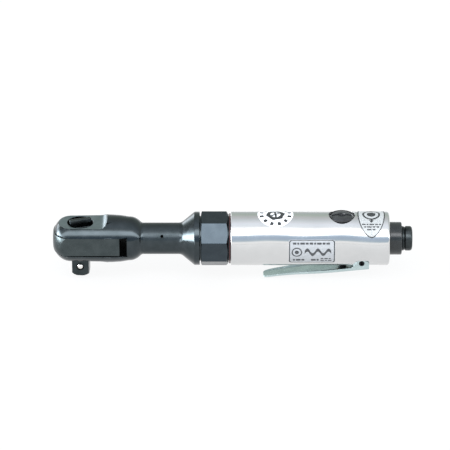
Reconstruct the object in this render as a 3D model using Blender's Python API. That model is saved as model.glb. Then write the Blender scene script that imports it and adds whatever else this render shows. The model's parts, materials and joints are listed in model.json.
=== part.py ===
"""Air ratchet with a half inch square drive.

The origin is the centre of the square drive's end face. +X runs along the
handle to the air inlet, +Z is up, and the tool's own axis lies AXIS_HEIGHT
above the origin. Lengths are written in millimetres, with z counted from the
tool axis, and MM turns them into metres when a mesh is made.
"""
import math

import bmesh
import bpy
from mathutils import Matrix, Vector

for old_object in list(bpy.data.objects):
    bpy.data.objects.remove(old_object, do_unlink=True)

MM = 0.001

# Driving dimensions, in millimetres.
AXIS_HEIGHT = 28.0
GAP = 0.3
NOSE_X = -20.5
NOSE_RADIUS = 13.4
HEAD_RADIUS = 17.3
CROWN_X = 19.7
CROWN_RADIUS = 17.8
SHOULDER_X = 36.0
SHOULDER_RADIUS = 16.4
NECK_START_X = 45.0
NECK_RADIUS = 11.7
CONE_START_X = 74.2
FLANGE_X = 84.8
FLANGE_RADIUS = 19.9
FLANGE_END_X = 88.7
SPIGOT_RADIUS = 16.75
SPIGOT_BORE = 15.0
SPIGOT_END_X = 123.0
FACET_Z = 13.5
SLOT_HALF = 7.5
SLOT_END_X = 34.5
ANVIL_HOLE_RADIUS = 9.6
ANVIL_RADIUS = 9.3
DRIVE_SIZE = 12.7
ANVIL_REST_TURN = math.radians(-4.0)
YOKE_HALF_WIDTH = 15.2
YOKE_HALF_THICKNESS = 7.2
YOKE_END_X = 29.2
YOKE_TOOTH_COUNT = 24
CRANK_THROW = 2.35
JOURNAL_RADIUS = 5.0
JOURNAL_BORE = 7.2
CARRIER_X = 84.4
CARRIER_END_X = 90.4
GEAR_MODULE = 0.75
SUN_TEETH = 9
PLANET_TEETH = 12
RING_TEETH = 33
PLANET_ORBIT = GEAR_MODULE * (SUN_TEETH + PLANET_TEETH) / 2
PLANET_COUNT = 3
GEAR_START_X = 91.2
GEAR_END_X = 103.2
NUT_START_X = 89.6
NUT_END_X = 110.1
NUT_FLAT_RADIUS = 19.0
NUT_FIRST_NORMAL = math.radians(38.5)
HOUSING_START_X = 111.8
HOUSING_END_X = 229.4
HOUSING_RADIUS = 20.0
MOTOR_START_X = 124.0
MOTOR_END_X = 174.9
MOTOR_BORE = 15.6
CYLINDER_RADIUS = 15.3
CYLINDER_BORE = 13.2
CYLINDER_OFFSET = 1.3
ROTOR_START_X = 131.4
ROTOR_END_X = 167.6
ROTOR_RADIUS = 11.4
VANE_TIP_RADIUS = 11.65
VANE_COUNT = 4
REGULATOR_X = 194.0
REGULATOR_TOP_Z = 20.0
PLUNGER_X = 194.5
PLUNGER_RADIUS = 3.25
LEVER_PIN_X = 209.1
LEVER_PIN_Z = -16.8
LEVER_PIN_RADIUS = 1.75
LEVER_TIP_X = 136.0
LEVER_BEND_X = 160.0
LEVER_REAR_X = 214.6
LEVER_HALF_WIDTH = 8.7
LEVER_WALL = 1.5
LEVER_SLOPE = math.radians(6.0)
LEVER_REAR_Z = -20.6
LUG_HALF_WIDTH = 6.8
SEAT_X = 207.8
VALVE_X = 211.3
CHAMBER_RADIUS = 5.0
INLET_BORE_RADIUS = 9.0
DEFLECTOR_RADIUS = 12.2
DEFLECTOR_END_X = 238.6
INLET_RADIUS = 9.15
INLET_END_X = 246.5
PORT_RADIUS = 5.6
PORT_END_X = 230.6


# Materials.

def make_material(name, colour, roughness, metallic):
    material = bpy.data.materials.new(name)
    material.use_nodes = True
    shader = material.node_tree.nodes["Principled BSDF"]
    shader.inputs["Base Color"].default_value = (*colour, 1.0)
    shader.inputs["Roughness"].default_value = roughness
    shader.inputs["Metallic"].default_value = metallic
    return material


FINISHES = {
    "phosphated_steel": ((0.07, 0.08, 0.085), 0.35, 1.0),
    "polished_aluminium": ((0.80, 0.82, 0.84), 0.12, 1.0),
    "nickel_steel": ((0.45, 0.48, 0.52), 0.25, 1.0),
    "bright_steel": ((0.70, 0.70, 0.68), 0.25, 1.0),
    "hardened_steel": ((0.35, 0.35, 0.36), 0.35, 1.0),
    "black_polymer": ((0.03, 0.03, 0.03), 0.45, 0.0),
    "red_fibre": ((0.35, 0.03, 0.02), 0.6, 0.0),
    "bronze": ((0.55, 0.33, 0.14), 0.4, 1.0),
    "rubber": ((0.02, 0.02, 0.02), 0.7, 0.0),
    "phenolic": ((0.30, 0.16, 0.07), 0.6, 0.0),
}


# Outlines.

def arc(centre, radius, start, end, steps):
    """Points of an arc, angles in degrees."""
    points = []
    for step in range(steps + 1):
        angle = math.radians(start + (end - start) * step / steps)
        points.append((centre[0] + radius * math.cos(angle), centre[1] + radius * math.sin(angle)))
    return points


def circle(centre, radius, steps, turn=0.0):
    return arc(centre, radius, turn, turn + 360.0, steps)[:-1]


def rectangle(low, high):
    return [(low[0], low[1]), (high[0], low[1]), (high[0], high[1]), (low[0], high[1])]


def turned_points(points, angle, centre=(0.0, 0.0)):
    """The points turned by an angle, in radians, about a centre."""
    cosine = math.cos(angle)
    sine = math.sin(angle)
    result = []
    for u, v in points:
        du = u - centre[0]
        dv = v - centre[1]
        result.append((centre[0] + du * cosine - dv * sine, centre[1] + du * sine + dv * cosine))
    return result


def gear_outline(teeth, tip, root, tip_share, root_share, first_tooth=0.0):
    """A toothed outline; the shares are the tooth's part of the pitch at its tip and its root."""
    pitch = 2 * math.pi / teeth
    points = []
    for tooth in range(teeth):
        middle = first_tooth + tooth * pitch
        corners = ((-root_share, root), (-tip_share, tip), (tip_share, tip), (root_share, root))
        for share, radius in corners:
            angle = middle + share * pitch / 2
            points.append((radius * math.cos(angle), radius * math.sin(angle)))
    return points


# Solids.

def spun(profile, axis, centre=(0.0, 0.0, 0.0), segments=24):
    """A closed profile of (along, radius) points, spun about an X or Z axis through a centre."""
    work = bmesh.new()
    direction = Vector((1, 0, 0)) if axis == "X" else Vector((0, 0, 1))
    rim = Vector((0, 0, 1)) if axis == "X" else Vector((1, 0, 0))
    corners = [work.verts.new(Vector(centre) + direction * a + rim * r) for a, r in profile]
    edges = []
    for index, corner in enumerate(corners):
        following = (index + 1) % len(corners)
        if profile[index][1] > 0 or profile[following][1] > 0:
            edges.append(work.edges.new((corner, corners[following])))
    bmesh.ops.spin(work, geom=corners + edges, cent=centre, axis=direction, angle=2 * math.pi,
                   steps=segments, use_merge=True)
    bmesh.ops.remove_doubles(work, verts=work.verts, dist=0.00001)
    bmesh.ops.dissolve_degenerate(work, edges=work.edges, dist=0.00001)
    return work


def extruded(outlines, axis, start, end):
    """Closed outlines, the later ones holes, extruded along an axis from start to end."""
    work = bmesh.new()

    def corner(u, v):
        places = {"X": (start, u, v), "Y": (u, start, v), "Z": (u, v, start)}
        return work.verts.new(places[axis])

    edges = []
    for outline in outlines:
        corners = [corner(u, v) for u, v in outline]
        for index, vertex in enumerate(corners):
            edges.append(work.edges.new((vertex, corners[(index + 1) % len(corners)])))
    bmesh.ops.triangle_fill(work, use_beauty=True, use_dissolve=False, edges=edges)
    extrusion = bmesh.ops.extrude_face_region(work, geom=work.faces[:])
    direction = {"X": Vector((1, 0, 0)), "Y": Vector((0, 1, 0)), "Z": Vector((0, 0, 1))}[axis]
    moved = [item for item in extrusion["geom"] if isinstance(item, bmesh.types.BMVert)]
    bmesh.ops.translate(work, verts=moved, vec=direction * (end - start))
    return work


def coil(start, axis, radius, wire, length, turns, steps_per_turn, sides):
    """A closed wire helix of round wire, from a start point along an axis."""
    work = bmesh.new()
    direction = Vector(axis)
    across = direction.orthogonal().normalized()
    upright = direction.cross(across)
    steps = turns * steps_per_turn
    rings = []
    for step in range(steps + 1):
        angle = 2 * math.pi * step / steps_per_turn
        outward = across * math.cos(angle) + upright * math.sin(angle)
        middle = Vector(start) + direction * (length * step / steps) + outward * radius
        ring = []
        for side in range(sides):
            turn = 2 * math.pi * side / sides
            offset = outward * math.cos(turn) + direction * math.sin(turn)
            ring.append(work.verts.new(middle + offset * wire))
        rings.append(ring)
    for first, second in zip(rings, rings[1:]):
        for side in range(sides):
            other = (side + 1) % sides
            work.faces.new((first[side], first[other], second[other], second[side]))
    work.faces.new(rings[0])
    work.faces.new(rings[-1])
    return work


def make_object(name, work, pivot=(0.0, 0.0, 0.0)):
    """An object in metres whose origin is the pivot."""
    bmesh.ops.recalc_face_normals(work, faces=work.faces)
    place = Vector(pivot)
    bmesh.ops.transform(work, matrix=Matrix.Scale(MM, 4) @ Matrix.Translation(-place), verts=work.verts)
    mesh = bpy.data.meshes.new(name)
    work.to_mesh(mesh)
    work.free()
    mesh.shade_smooth()
    mesh.set_sharp_from_angle(angle=math.radians(35.0))
    result = bpy.data.objects.new(name, mesh)
    result.location = (place + Vector((0, 0, AXIS_HEIGHT))) * MM
    bpy.context.scene.collection.objects.link(result)
    return result


def piece(name, work, finish, pivot=(0.0, 0.0, 0.0)):
    result = make_object(name, work, pivot)
    colour, roughness, metallic = FINISHES[finish]
    result.data.materials.append(make_material(name, colour, roughness, metallic))
    return result


def combine(target, work, name, operation="DIFFERENCE"):
    """Cuts a shape out of the target, or joins it to the target."""
    tool = make_object(name, work)
    tool.hide_render = True
    tool.display_type = "WIRE"
    modifier = target.modifiers.new(name, "BOOLEAN")
    modifier.operation = operation
    modifier.solver = "EXACT"
    modifier.object = tool


def ring(name, finish, axis, centre, low, high, inner, outer, segments=18):
    """A plain turned ring."""
    profile = [(low, outer), (high, outer), (high, inner), (low, inner)]
    return piece(name, spun(profile, axis, centre, segments), finish, centre)


# The head.

def build_ratchet_housing():
    nose_centre = (NOSE_X + NOSE_RADIUS, HEAD_RADIUS - NOSE_RADIUS)
    shoulder = []
    for step in range(1, 5):
        turn = math.pi / 2 * step / 4
        shoulder.append((SHOULDER_X + (NECK_START_X - SHOULDER_X) * math.sin(turn),
                         NECK_RADIUS + (SHOULDER_RADIUS - NECK_RADIUS) * math.cos(turn)))
    profile = [(NOSE_X, 0.0)]
    profile += arc(nose_centre, NOSE_RADIUS, 180.0, 90.0, 7)
    profile += [(CROWN_X, CROWN_RADIUS), (SHOULDER_X, SHOULDER_RADIUS)]
    profile += shoulder
    profile += [
        (CONE_START_X, NECK_RADIUS), (FLANGE_X, FLANGE_RADIUS), (FLANGE_END_X, FLANGE_RADIUS),
        (FLANGE_END_X, SPIGOT_RADIUS), (SPIGOT_END_X, SPIGOT_RADIUS), (SPIGOT_END_X, SPIGOT_BORE),
        (CARRIER_X - 0.4, SPIGOT_BORE), (CARRIER_X - 0.4, JOURNAL_BORE),
        (SLOT_END_X - 1.5, JOURNAL_BORE), (SLOT_END_X - 1.5, 0.0),
    ]
    head = piece("ratchet_housing", spun(profile, "X", segments=32), "phosphated_steel")
    combine(head, extruded([rectangle((NOSE_X - 5, -SLOT_HALF), (SLOT_END_X, SLOT_HALF))], "Y", -25, 25),
            "fork_slot_cutter")
    cutter_radius = 6.0
    flat_end_x = 14.4
    for side, label in ((1, "upper"), (-1, "lower")):
        run_out = arc((flat_end_x, FACET_Z + cutter_radius), cutter_radius, -90.0, 0.0, 6)
        outline = [(NOSE_X - 5, FACET_Z)] + run_out + [(NOSE_X - 5, FACET_Z + cutter_radius)]
        outline = [(u, side * v) for u, v in outline]
        combine(head, extruded([outline], "Y", -25, 25), label + "_facet_cutter")
    combine(head, extruded([circle((0, 0), ANVIL_HOLE_RADIUS, 28)], "Z", -20, 20), "anvil_hole_cutter")
    combine(head, extruded([circle((0, 0), 10.7, 28)], "Z", 8.3, 9.7), "ring_groove_cutter")
    oil_hole = extruded([circle((60.7, 0), 1.0, 8)], "Z", 6, 16)
    bmesh.ops.rotate(oil_hole, cent=(0, 0, 0), matrix=Matrix.Rotation(math.radians(56.0), 3, "X"),
                     verts=oil_hole.verts)
    combine(head, oil_hole, "oil_hole_cutter")


def build_ratchet_yoke():
    nose_centre_y = HEAD_RADIUS - NOSE_RADIUS
    corner = math.degrees(math.asin((YOKE_HALF_WIDTH - nose_centre_y) / NOSE_RADIUS))
    nose = arc((NOSE_X + NOSE_RADIUS, nose_centre_y), NOSE_RADIUS, 180.0 - corner, 180.0, 7)
    nose += arc((NOSE_X + NOSE_RADIUS, -nose_centre_y), NOSE_RADIUS, 180.0, 180.0 + corner, 7)
    slot_half = 7.8
    slot_front = 19.5
    outline = nose + [
        (YOKE_END_X, -YOKE_HALF_WIDTH), (YOKE_END_X, -slot_half), (slot_front, -slot_half),
        (slot_front, slot_half), (YOKE_END_X, slot_half), (YOKE_END_X, YOKE_HALF_WIDTH),
    ]
    teeth = gear_outline(YOKE_TOOTH_COUNT, 10.0, 11.2, 0.12, 0.8)
    work = extruded([outline, teeth], "Z", -YOKE_HALF_THICKNESS, YOKE_HALF_THICKNESS)
    piece("ratchet_yoke", work, "hardened_steel")


PAWL_PIVOT = (5.9, 0.0)
BALL_Y = -5.05
BALL_Z = -20.5
BALL_RADIUS = 2.5
KNOB_STEM_RADIUS = 3.0
KNOB_TURN = math.radians(17.0)
KNOB_TOP_Z = 16.3


def build_anvil():
    journal = [(-12.4, 0.0), (-12.4, ANVIL_RADIUS), (7.0, ANVIL_RADIUS), (7.0, 0.0)]
    anvil = piece("anvil", spun(journal, "Z", segments=32), "phosphated_steel")
    half = DRIVE_SIZE / 2
    edge = 1.1
    square = []
    for quarter in range(4):
        corner = [(half, half - edge), (half - edge, half)]
        square += turned_points(corner, quarter * math.pi / 2)
    square = turned_points(square, ANVIL_REST_TURN)
    drive = extruded([square], "Z", -AXIS_HEIGHT, -10.0)
    combine(anvil, drive, "square_drive", "UNION")
    taper = spun([(-30.0, 5.6), (-30.0, 14.0), (-25.6, 14.0), (-25.6, 8.7)], "Z", segments=32)
    combine(anvil, taper, "drive_end_taper_cutter")
    combine(anvil, extruded([rectangle((2.4, -9.0), (12.0, 9.0))], "Z", -5.3, 5.3), "pawl_pocket_cutter")
    combine(anvil, extruded([circle((0, 0), KNOB_STEM_RADIUS + GAP, 16)], "Z", -5.6, 9.0), "stem_hole_cutter")
    combine(anvil, extruded([circle(PAWL_PIVOT, 1.5, 10)], "Z", -9.0, 9.0), "pawl_pin_hole_cutter")
    ball_hole = extruded([circle((0, BALL_Z), BALL_RADIUS + GAP, 16)], "Y", -9.0, -0.5)
    bmesh.ops.rotate(ball_hole, cent=(0, 0, 0), matrix=Matrix.Rotation(ANVIL_REST_TURN, 3, "Z"),
                     verts=ball_hole.verts)
    combine(anvil, ball_hole, "ball_hole_cutter")


def build_pawl():
    half_outline = [(4.1, 2.2), (5.5, 5.2), (7.5, 5.4), (8.2, 4.2), (7.1, 2.4)]
    outline = half_outline + [(u, -v) for u, v in reversed(half_outline)]
    tilt = math.radians(5.0)
    outline = turned_points(outline, tilt, PAWL_PIVOT)
    work = extruded([outline, circle(PAWL_PIVOT, 1.5, 10)], "Z", -4.9, 4.9)
    piece("pawl", work, "hardened_steel", (*PAWL_PIVOT, 0.0))
    pin = extruded([circle(PAWL_PIVOT, 1.2, 10)], "Z", -8.6, 6.7)
    piece("pawl_pin", pin, "bright_steel", (*PAWL_PIVOT, 0.0))


def build_reverse_knob():
    profile = [(10.9, 0.0), (10.9, 9.2), (9.9, 9.2), (9.9, KNOB_STEM_RADIUS), (-5.2, KNOB_STEM_RADIUS),
               (-5.2, 0.0)]
    knob = piece("reverse_knob", spun(profile, "Z", segments=32), "phosphated_steel")
    ridge_half = 2.3
    end = math.degrees(math.asin(ridge_half / 8.6))
    ridge = arc((0, 0), 8.6, -end, end, 4) + arc((0, 0), 8.6, 180.0 - end, 180.0 + end, 4)
    ridge = turned_points(ridge, KNOB_TURN)
    combine(knob, extruded([ridge], "Z", 10.5, KNOB_TOP_Z), "knob_ridge", "UNION")
    plunger_turn = math.radians(15.0)
    hole = extruded([circle((0, 0), 1.3, 10)], "X", -1.6, 5.0)
    plunger = spun([(1.2, 0.0), (1.2, 1.0), (3.2, 1.0), (3.6, 0.5), (3.6, 0.0)], "X", segments=10)
    spring = coil((-1.25, 0, 0), (1, 0, 0), 0.65, 0.2, 2.1, 3, 7, 3)
    for work in (hole, plunger, spring):
        bmesh.ops.rotate(work, cent=(0, 0, 0), matrix=Matrix.Rotation(plunger_turn, 3, "Z"), verts=work.verts)
    combine(knob, hole, "reverse_plunger_hole_cutter")
    piece("reverse_plunger", plunger, "bright_steel")
    piece("reverse_spring", spring, "bright_steel")


def build_anvil_fittings():
    ring("thrust_washer", "bronze", "Z", (0, 0, 0), 7.35, 8.2, 4.0, 9.2, 20)
    split = math.degrees(math.asin(1.5 / 10.4))
    outline = arc((0, 0), 10.4, split, 360.0 - split, 28) + arc((0, 0), 8.4, 360.0 - split, split, 28)
    piece("anvil_retaining_ring", extruded([outline], "Z", 8.6, 9.4), "bright_steel")
    ball_place = turned_points([(0.0, BALL_Y)], ANVIL_REST_TURN)[0]
    ball = bmesh.new()
    bmesh.ops.create_uvsphere(ball, u_segments=12, v_segments=8, radius=BALL_RADIUS,
                              matrix=Matrix.Translation((*ball_place, BALL_Z)))
    piece("socket_ball", ball, "bright_steel", (*ball_place, BALL_Z))
    spring = coil((0, -2.3, BALL_Z), (0, 1, 0), 1.5, 0.25, 1.5, 2, 8, 3)
    bmesh.ops.rotate(spring, cent=(0, 0, 0), matrix=Matrix.Rotation(ANVIL_REST_TURN, 3, "Z"),
                     verts=spring.verts)
    piece("socket_ball_spring", spring, "bright_steel")


# The crank and the planetary gears.

def planet_centre(index):
    angle = 2 * math.pi * index / PLANET_COUNT
    return (PLANET_ORBIT * math.cos(angle), PLANET_ORBIT * math.sin(angle))


PLANET_PIN_RADIUS = 1.7


def build_crankshaft():
    journal = [(CARRIER_X - 49.6, 0.0), (CARRIER_X - 49.6, JOURNAL_RADIUS), (CARRIER_X, JOURNAL_RADIUS),
               (CARRIER_X, 13.6), (CARRIER_END_X, 13.6), (CARRIER_END_X, 4.6), (CARRIER_X + 3, 4.6),
               (CARRIER_X + 3, 0.0)]
    shaft = piece("crankshaft", spun(journal, "X", segments=32), "hardened_steel")
    pin = spun([(22.8, 0.0), (22.8, 2.0), (38.0, 2.0), (38.0, 0.0)], "X", (0, 0, CRANK_THROW), 14)
    combine(shaft, pin, "crank_pin", "UNION")
    for index in range(PLANET_COUNT):
        outline = circle(planet_centre(index), PLANET_PIN_RADIUS + GAP, 12)
        hole = extruded([outline], "X", CARRIER_X + 0.9, 95.0)
        combine(shaft, hole, f"planet_pin_hole_cutter_{index + 1}")
    ring("drive_bushing", "bronze", "X", (0, 0, CRANK_THROW), 22.8, 28.4, 2.0 + GAP, 3.2, 16)
    for label, low, high in (("front", 36.5, 48.0), ("rear", 68.0, 82.0)):
        ring("crankshaft_bushing_" + label, "bronze", "X", (0, 0, 0), low, high,
             JOURNAL_RADIUS + GAP, JOURNAL_BORE - GAP)


def build_gears():
    pitch_radius = GEAR_MODULE * RING_TEETH / 2
    bore = gear_outline(RING_TEETH, pitch_radius - 0.5, pitch_radius + 0.85, 0.22, 0.62)
    work = extruded([circle((0, 0), SPIGOT_BORE - GAP, 28), bore], "X", GEAR_START_X - 0.2, GEAR_END_X + 3)
    piece("ring_gear", work, "hardened_steel")
    planet_radius = GEAR_MODULE * PLANET_TEETH / 2
    half_pitch = math.pi / PLANET_TEETH
    for index in range(PLANET_COUNT):
        centre = planet_centre(index)
        teeth = gear_outline(PLANET_TEETH, planet_radius + 0.5, planet_radius - 0.8, 0.22, 0.66, half_pitch)
        teeth = [(u + centre[0], v + centre[1]) for u, v in teeth]
        hole = circle(centre, PLANET_PIN_RADIUS + GAP, 12)
        pivot = (GEAR_START_X, *centre)
        piece(f"planet_gear_{index + 1}", extruded([teeth, hole], "X", GEAR_START_X, GEAR_END_X),
              "hardened_steel", pivot)
        pin = extruded([circle(centre, PLANET_PIN_RADIUS, 12)], "X", CARRIER_X + 1.2, GEAR_END_X + 0.2)
        piece(f"planet_pin_{index + 1}", pin, "bright_steel", pivot)
    ring("gear_washer", "hardened_steel", "X", (0, 0, 0), GEAR_END_X + 3.3, GEAR_END_X + 4.3, 5.0, 14.7)
    ring("motor_clamp_sleeve", "polished_aluminium", "X", (0, 0, 0), GEAR_END_X + 4.6, MOTOR_START_X - 0.2,
         12.0, 14.7)


# The nut, the housing and the motor.

def build_clamp_nut():
    corner_radius = NUT_FLAT_RADIUS / math.cos(math.pi / 8)
    turn = math.degrees(NUT_FIRST_NORMAL) + 22.5
    outline = circle((0, 0), corner_radius, 8, turn)
    outline = [(-u, v) for u, v in outline]
    nut = piece("clamp_nut", extruded([outline], "X", NUT_START_X, NUT_END_X), "nickel_steel")
    bore = extruded([circle((0, 0), SPIGOT_RADIUS + GAP, 32)], "X", NUT_START_X - 2, NUT_END_X + 2)
    combine(nut, bore, "nut_bore_cutter")
    rear_chamfer = spun([(NUT_END_X - 1.4, corner_radius + 0.4), (NUT_END_X + 1, corner_radius + 0.4),
                         (NUT_END_X + 1, NUT_FLAT_RADIUS - 0.9)], "X", segments=32)
    combine(nut, rear_chamfer, "nut_rear_chamfer_cutter")
    ring("housing_gasket", "red_fibre", "X", (0, 0, 0), NUT_END_X + 0.4, HOUSING_START_X - 0.3,
         SPIGOT_RADIUS + GAP, 18.6, 28)


def lever_relief_outline():
    """The milled relief beside the lever's lug, seen from the side: a ramp, a flat top and a scallop."""
    top = -9.9
    floor = -24.0
    scallop = arc((213.0, top - 8.6), 8.6, 90.0, 8.0, 6)
    return [(193.0, floor), (197.0, -17.5), (204.6, -10.8), (206.6, top)] + scallop + [(223.0, floor)]


def build_motor_housing():
    profile = [(HOUSING_START_X, HOUSING_RADIUS - 0.4), (HOUSING_START_X + 0.4, HOUSING_RADIUS)]
    profile += arc((HOUSING_END_X - 2.0, HOUSING_RADIUS - 2.0), 2.0, 90.0, 0.0, 3)
    profile += [
        (HOUSING_END_X, INLET_BORE_RADIUS), (SEAT_X - 0.3, INLET_BORE_RADIUS),
        (SEAT_X - 0.3, CHAMBER_RADIUS), (187.0, CHAMBER_RADIUS), (187.0, 3.5), (MOTOR_END_X, 3.5),
        (MOTOR_END_X, MOTOR_BORE), (MOTOR_START_X, MOTOR_BORE), (MOTOR_START_X, SPIGOT_RADIUS + GAP),
        (HOUSING_START_X, SPIGOT_RADIUS + GAP),
    ]
    housing = piece("motor_housing", spun(profile, "X", segments=36), "polished_aluminium")
    regulator_hole = spun([(24.0, 0.0), (24.0, 9.9), (14.2, 9.9), (14.2, 7.3), (7.5, 7.3), (7.5, 5.9),
                           (2.0, 5.9), (2.0, 0.0)], "Z", (REGULATOR_X, 0, 0), 20)
    combine(housing, regulator_hole, "regulator_hole_cutter")
    plunger_hole = spun([(-24.0, 5.3), (-24.0, 0.0), (0.0, 0.0), (0.0, 3.55), (-7.5, 3.55), (-7.5, 5.3)],
                        "Z", (PLUNGER_X, 0, 0), 20)
    combine(housing, plunger_hole, "plunger_hole_cutter")
    for side, label in ((1, "far"), (-1, "near")):
        low, high = sorted((side * LUG_HALF_WIDTH, side * 26.0))
        combine(housing, extruded([lever_relief_outline()], "Y", low, high), label + "_relief_cutter")
    pin_hole = extruded([circle((LEVER_PIN_X, LEVER_PIN_Z), LEVER_PIN_RADIUS + GAP, 14)], "Y", -10, 10)
    combine(housing, pin_hole, "lever_pin_hole_cutter")
    for index, degrees in enumerate((18.0, -18.0, 162.0, 198.0)):
        angle = math.radians(degrees)
        centre = (10.9 * math.cos(angle), 10.9 * math.sin(angle))
        combine(housing, extruded([circle(centre, 1.2, 8)], "X", MOTOR_END_X - 2, HOUSING_END_X + 2),
                f"exhaust_passage_cutter_{index + 1}")


def build_motor():
    bearing_seat = [(124.3, CYLINDER_RADIUS), (130.9, CYLINDER_RADIUS), (130.9, 4.5), (128.9, 4.5),
                    (128.9, 9.3), (124.3, 9.3)]
    piece("front_end_plate", spun(bearing_seat, "X", segments=28), "hardened_steel")
    ring("front_bearing", "bright_steel", "X", (0, 0, 0), 124.3, 128.5, 4.5, 9.0)
    bearing_seat = [(168.1, CYLINDER_RADIUS), (174.5, CYLINDER_RADIUS), (174.5, 7.3), (169.9, 7.3),
                    (169.9, 3.4), (168.1, 3.4)]
    piece("rear_end_plate", spun(bearing_seat, "X", segments=28), "hardened_steel")
    ring("rear_bearing", "bright_steel", "X", (0, 0, 0), 170.3, 174.3, 3.4, 7.0)
    wall = extruded([circle((0, 0), CYLINDER_RADIUS, 32), circle((0, CYLINDER_OFFSET), CYLINDER_BORE, 32)],
                    "X", 131.2, 167.8)
    piece("cylinder", wall, "hardened_steel")
    build_rotor()


def build_rotor():
    profile = [(GEAR_END_X + 0.6, 0.0), (GEAR_END_X + 0.6, 4.1), (ROTOR_START_X, 4.1),
               (ROTOR_START_X, ROTOR_RADIUS), (ROTOR_END_X, ROTOR_RADIUS), (ROTOR_END_X, 3.1), (174.2, 3.1),
               (174.2, 0.0)]
    rotor = piece("rotor", spun(profile, "X", segments=32), "hardened_steel")
    sun_radius = GEAR_MODULE * SUN_TEETH / 2
    teeth = gear_outline(SUN_TEETH, sun_radius + 0.5, sun_radius - 0.85, 0.2, 0.6)
    combine(rotor, extruded([teeth], "X", GEAR_START_X, GEAR_END_X + 2), "sun_pinion", "UNION")
    slot_half = 1.0
    for index in range(VANE_COUNT):
        turn = 2 * math.pi * (index + 0.5) / VANE_COUNT
        slot = turned_points(rectangle((5.6, -slot_half), (14.0, slot_half)), turn)
        combine(rotor, extruded([slot], "X", ROTOR_START_X - 1, ROTOR_END_X + 1),
                f"vane_slot_cutter_{index + 1}")
        blade = turned_points(rectangle((6.0, -0.7), (VANE_TIP_RADIUS, 0.7)), turn)
        piece(f"rotor_vane_{index + 1}", extruded([blade], "X", ROTOR_START_X, ROTOR_END_X), "phenolic")


# The controls and the air inlet.

def build_regulator():
    place = (REGULATOR_X, 0, 0)
    profile = [(REGULATOR_TOP_Z, 0.0), (REGULATOR_TOP_Z - 0.15, 3.5), (REGULATOR_TOP_Z - 0.9, 7.4),
               (REGULATOR_TOP_Z - 1.4, 8.6), (14.6, 8.6), (14.6, 5.5), (9.1, 5.5), (9.1, 4.9), (7.9, 4.9),
               (7.9, 5.5), (6.6, 5.5), (6.6, 0.0)]
    dial = piece("regulator_dial", spun(profile, "Z", place, 20), "black_polymer", place)
    slot = rectangle((REGULATOR_X - 6.2, -0.8), (REGULATOR_X + 6.2, 0.8))
    combine(dial, extruded([slot], "Z", REGULATOR_TOP_Z - 1.6, 24.0), "dial_slot_cutter")
    ring("regulator_seal", "rubber", "Z", place, 17.2, 18.9, 8.95, 9.5, 20)
    split = math.degrees(math.asin(1.0 / 7.0))
    outline = arc((REGULATOR_X, 0), 7.0, split, 360.0 - split, 20)
    outline += arc((REGULATOR_X, 0), 5.2, 360.0 - split, split, 20)
    piece("regulator_clip", extruded([outline], "Z", 8.1, 8.7), "bright_steel", place)


def lever_floor(x):
    """Height of the lever's upper web face: straight at the rear, bending down towards the tip."""
    bend = 0.00186 * max(0.0, LEVER_BEND_X - x) ** 2
    return LEVER_REAR_Z - (LEVER_REAR_X - x) * math.tan(LEVER_SLOPE) - bend


def build_lever():
    """A formed channel, built as sections along the lever: (x, half width, rim height above the web)."""
    ear_top = []
    for x, z in [(206.5, -15.2)] + list(reversed(arc((LEVER_PIN_X, LEVER_PIN_Z), 3.0, 60.0, 120.0, 3))):
        ear_top.append((x, LEVER_HALF_WIDTH, z - lever_floor(x)))
    sections = [(LEVER_TIP_X, 3.4, 0.15), (137.2, 4.3, 0.2), (139.0, 4.9, 0.3), (142.0, 5.3, 0.4),
                (151.0, 5.8, 0.6), (LEVER_BEND_X, 6.5, 0.75), (174.0, 7.9, 1.0),
                (188.0, LEVER_HALF_WIDTH, 1.2), (201.0, LEVER_HALF_WIDTH, 1.4)]
    sections += ear_top
    sections.append((LEVER_REAR_X - 0.8, LEVER_HALF_WIDTH, -15.9 - lever_floor(LEVER_REAR_X - 0.8)))
    sections.append((LEVER_REAR_X, LEVER_HALF_WIDTH, -17.0 - lever_floor(LEVER_REAR_X)))
    work = bmesh.new()
    rows = []
    for x, half, rim in sections:
        floor = lever_floor(x)
        inner = half - min(LEVER_WALL, half / 2)
        corners = [(-half, floor - LEVER_WALL), (half, floor - LEVER_WALL), (half, floor + rim),
                   (inner, floor + rim), (inner, floor), (-inner, floor), (-inner, floor + rim),
                   (-half, floor + rim)]
        rows.append([work.verts.new((x, y, z)) for y, z in corners])
    for first, second in zip(rows, rows[1:]):
        for index in range(len(first)):
            following = (index + 1) % len(first)
            work.faces.new((first[index], first[following], second[following], second[index]))
    work.faces.new(rows[0])
    work.faces.new(rows[-1])
    pivot = (LEVER_PIN_X, 0.0, LEVER_PIN_Z)
    lever = piece("throttle_lever", work, "nickel_steel", pivot)
    hole = extruded([circle((LEVER_PIN_X, LEVER_PIN_Z), LEVER_PIN_RADIUS + GAP, 14)], "Y", -12, 12)
    combine(lever, hole, "lever_pin_bore_cutter")
    pin = extruded([circle((LEVER_PIN_X, LEVER_PIN_Z), LEVER_PIN_RADIUS, 14)], "Y", -9.4, 9.4)
    piece("lever_pin", pin, "phosphated_steel", pivot)


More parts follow.
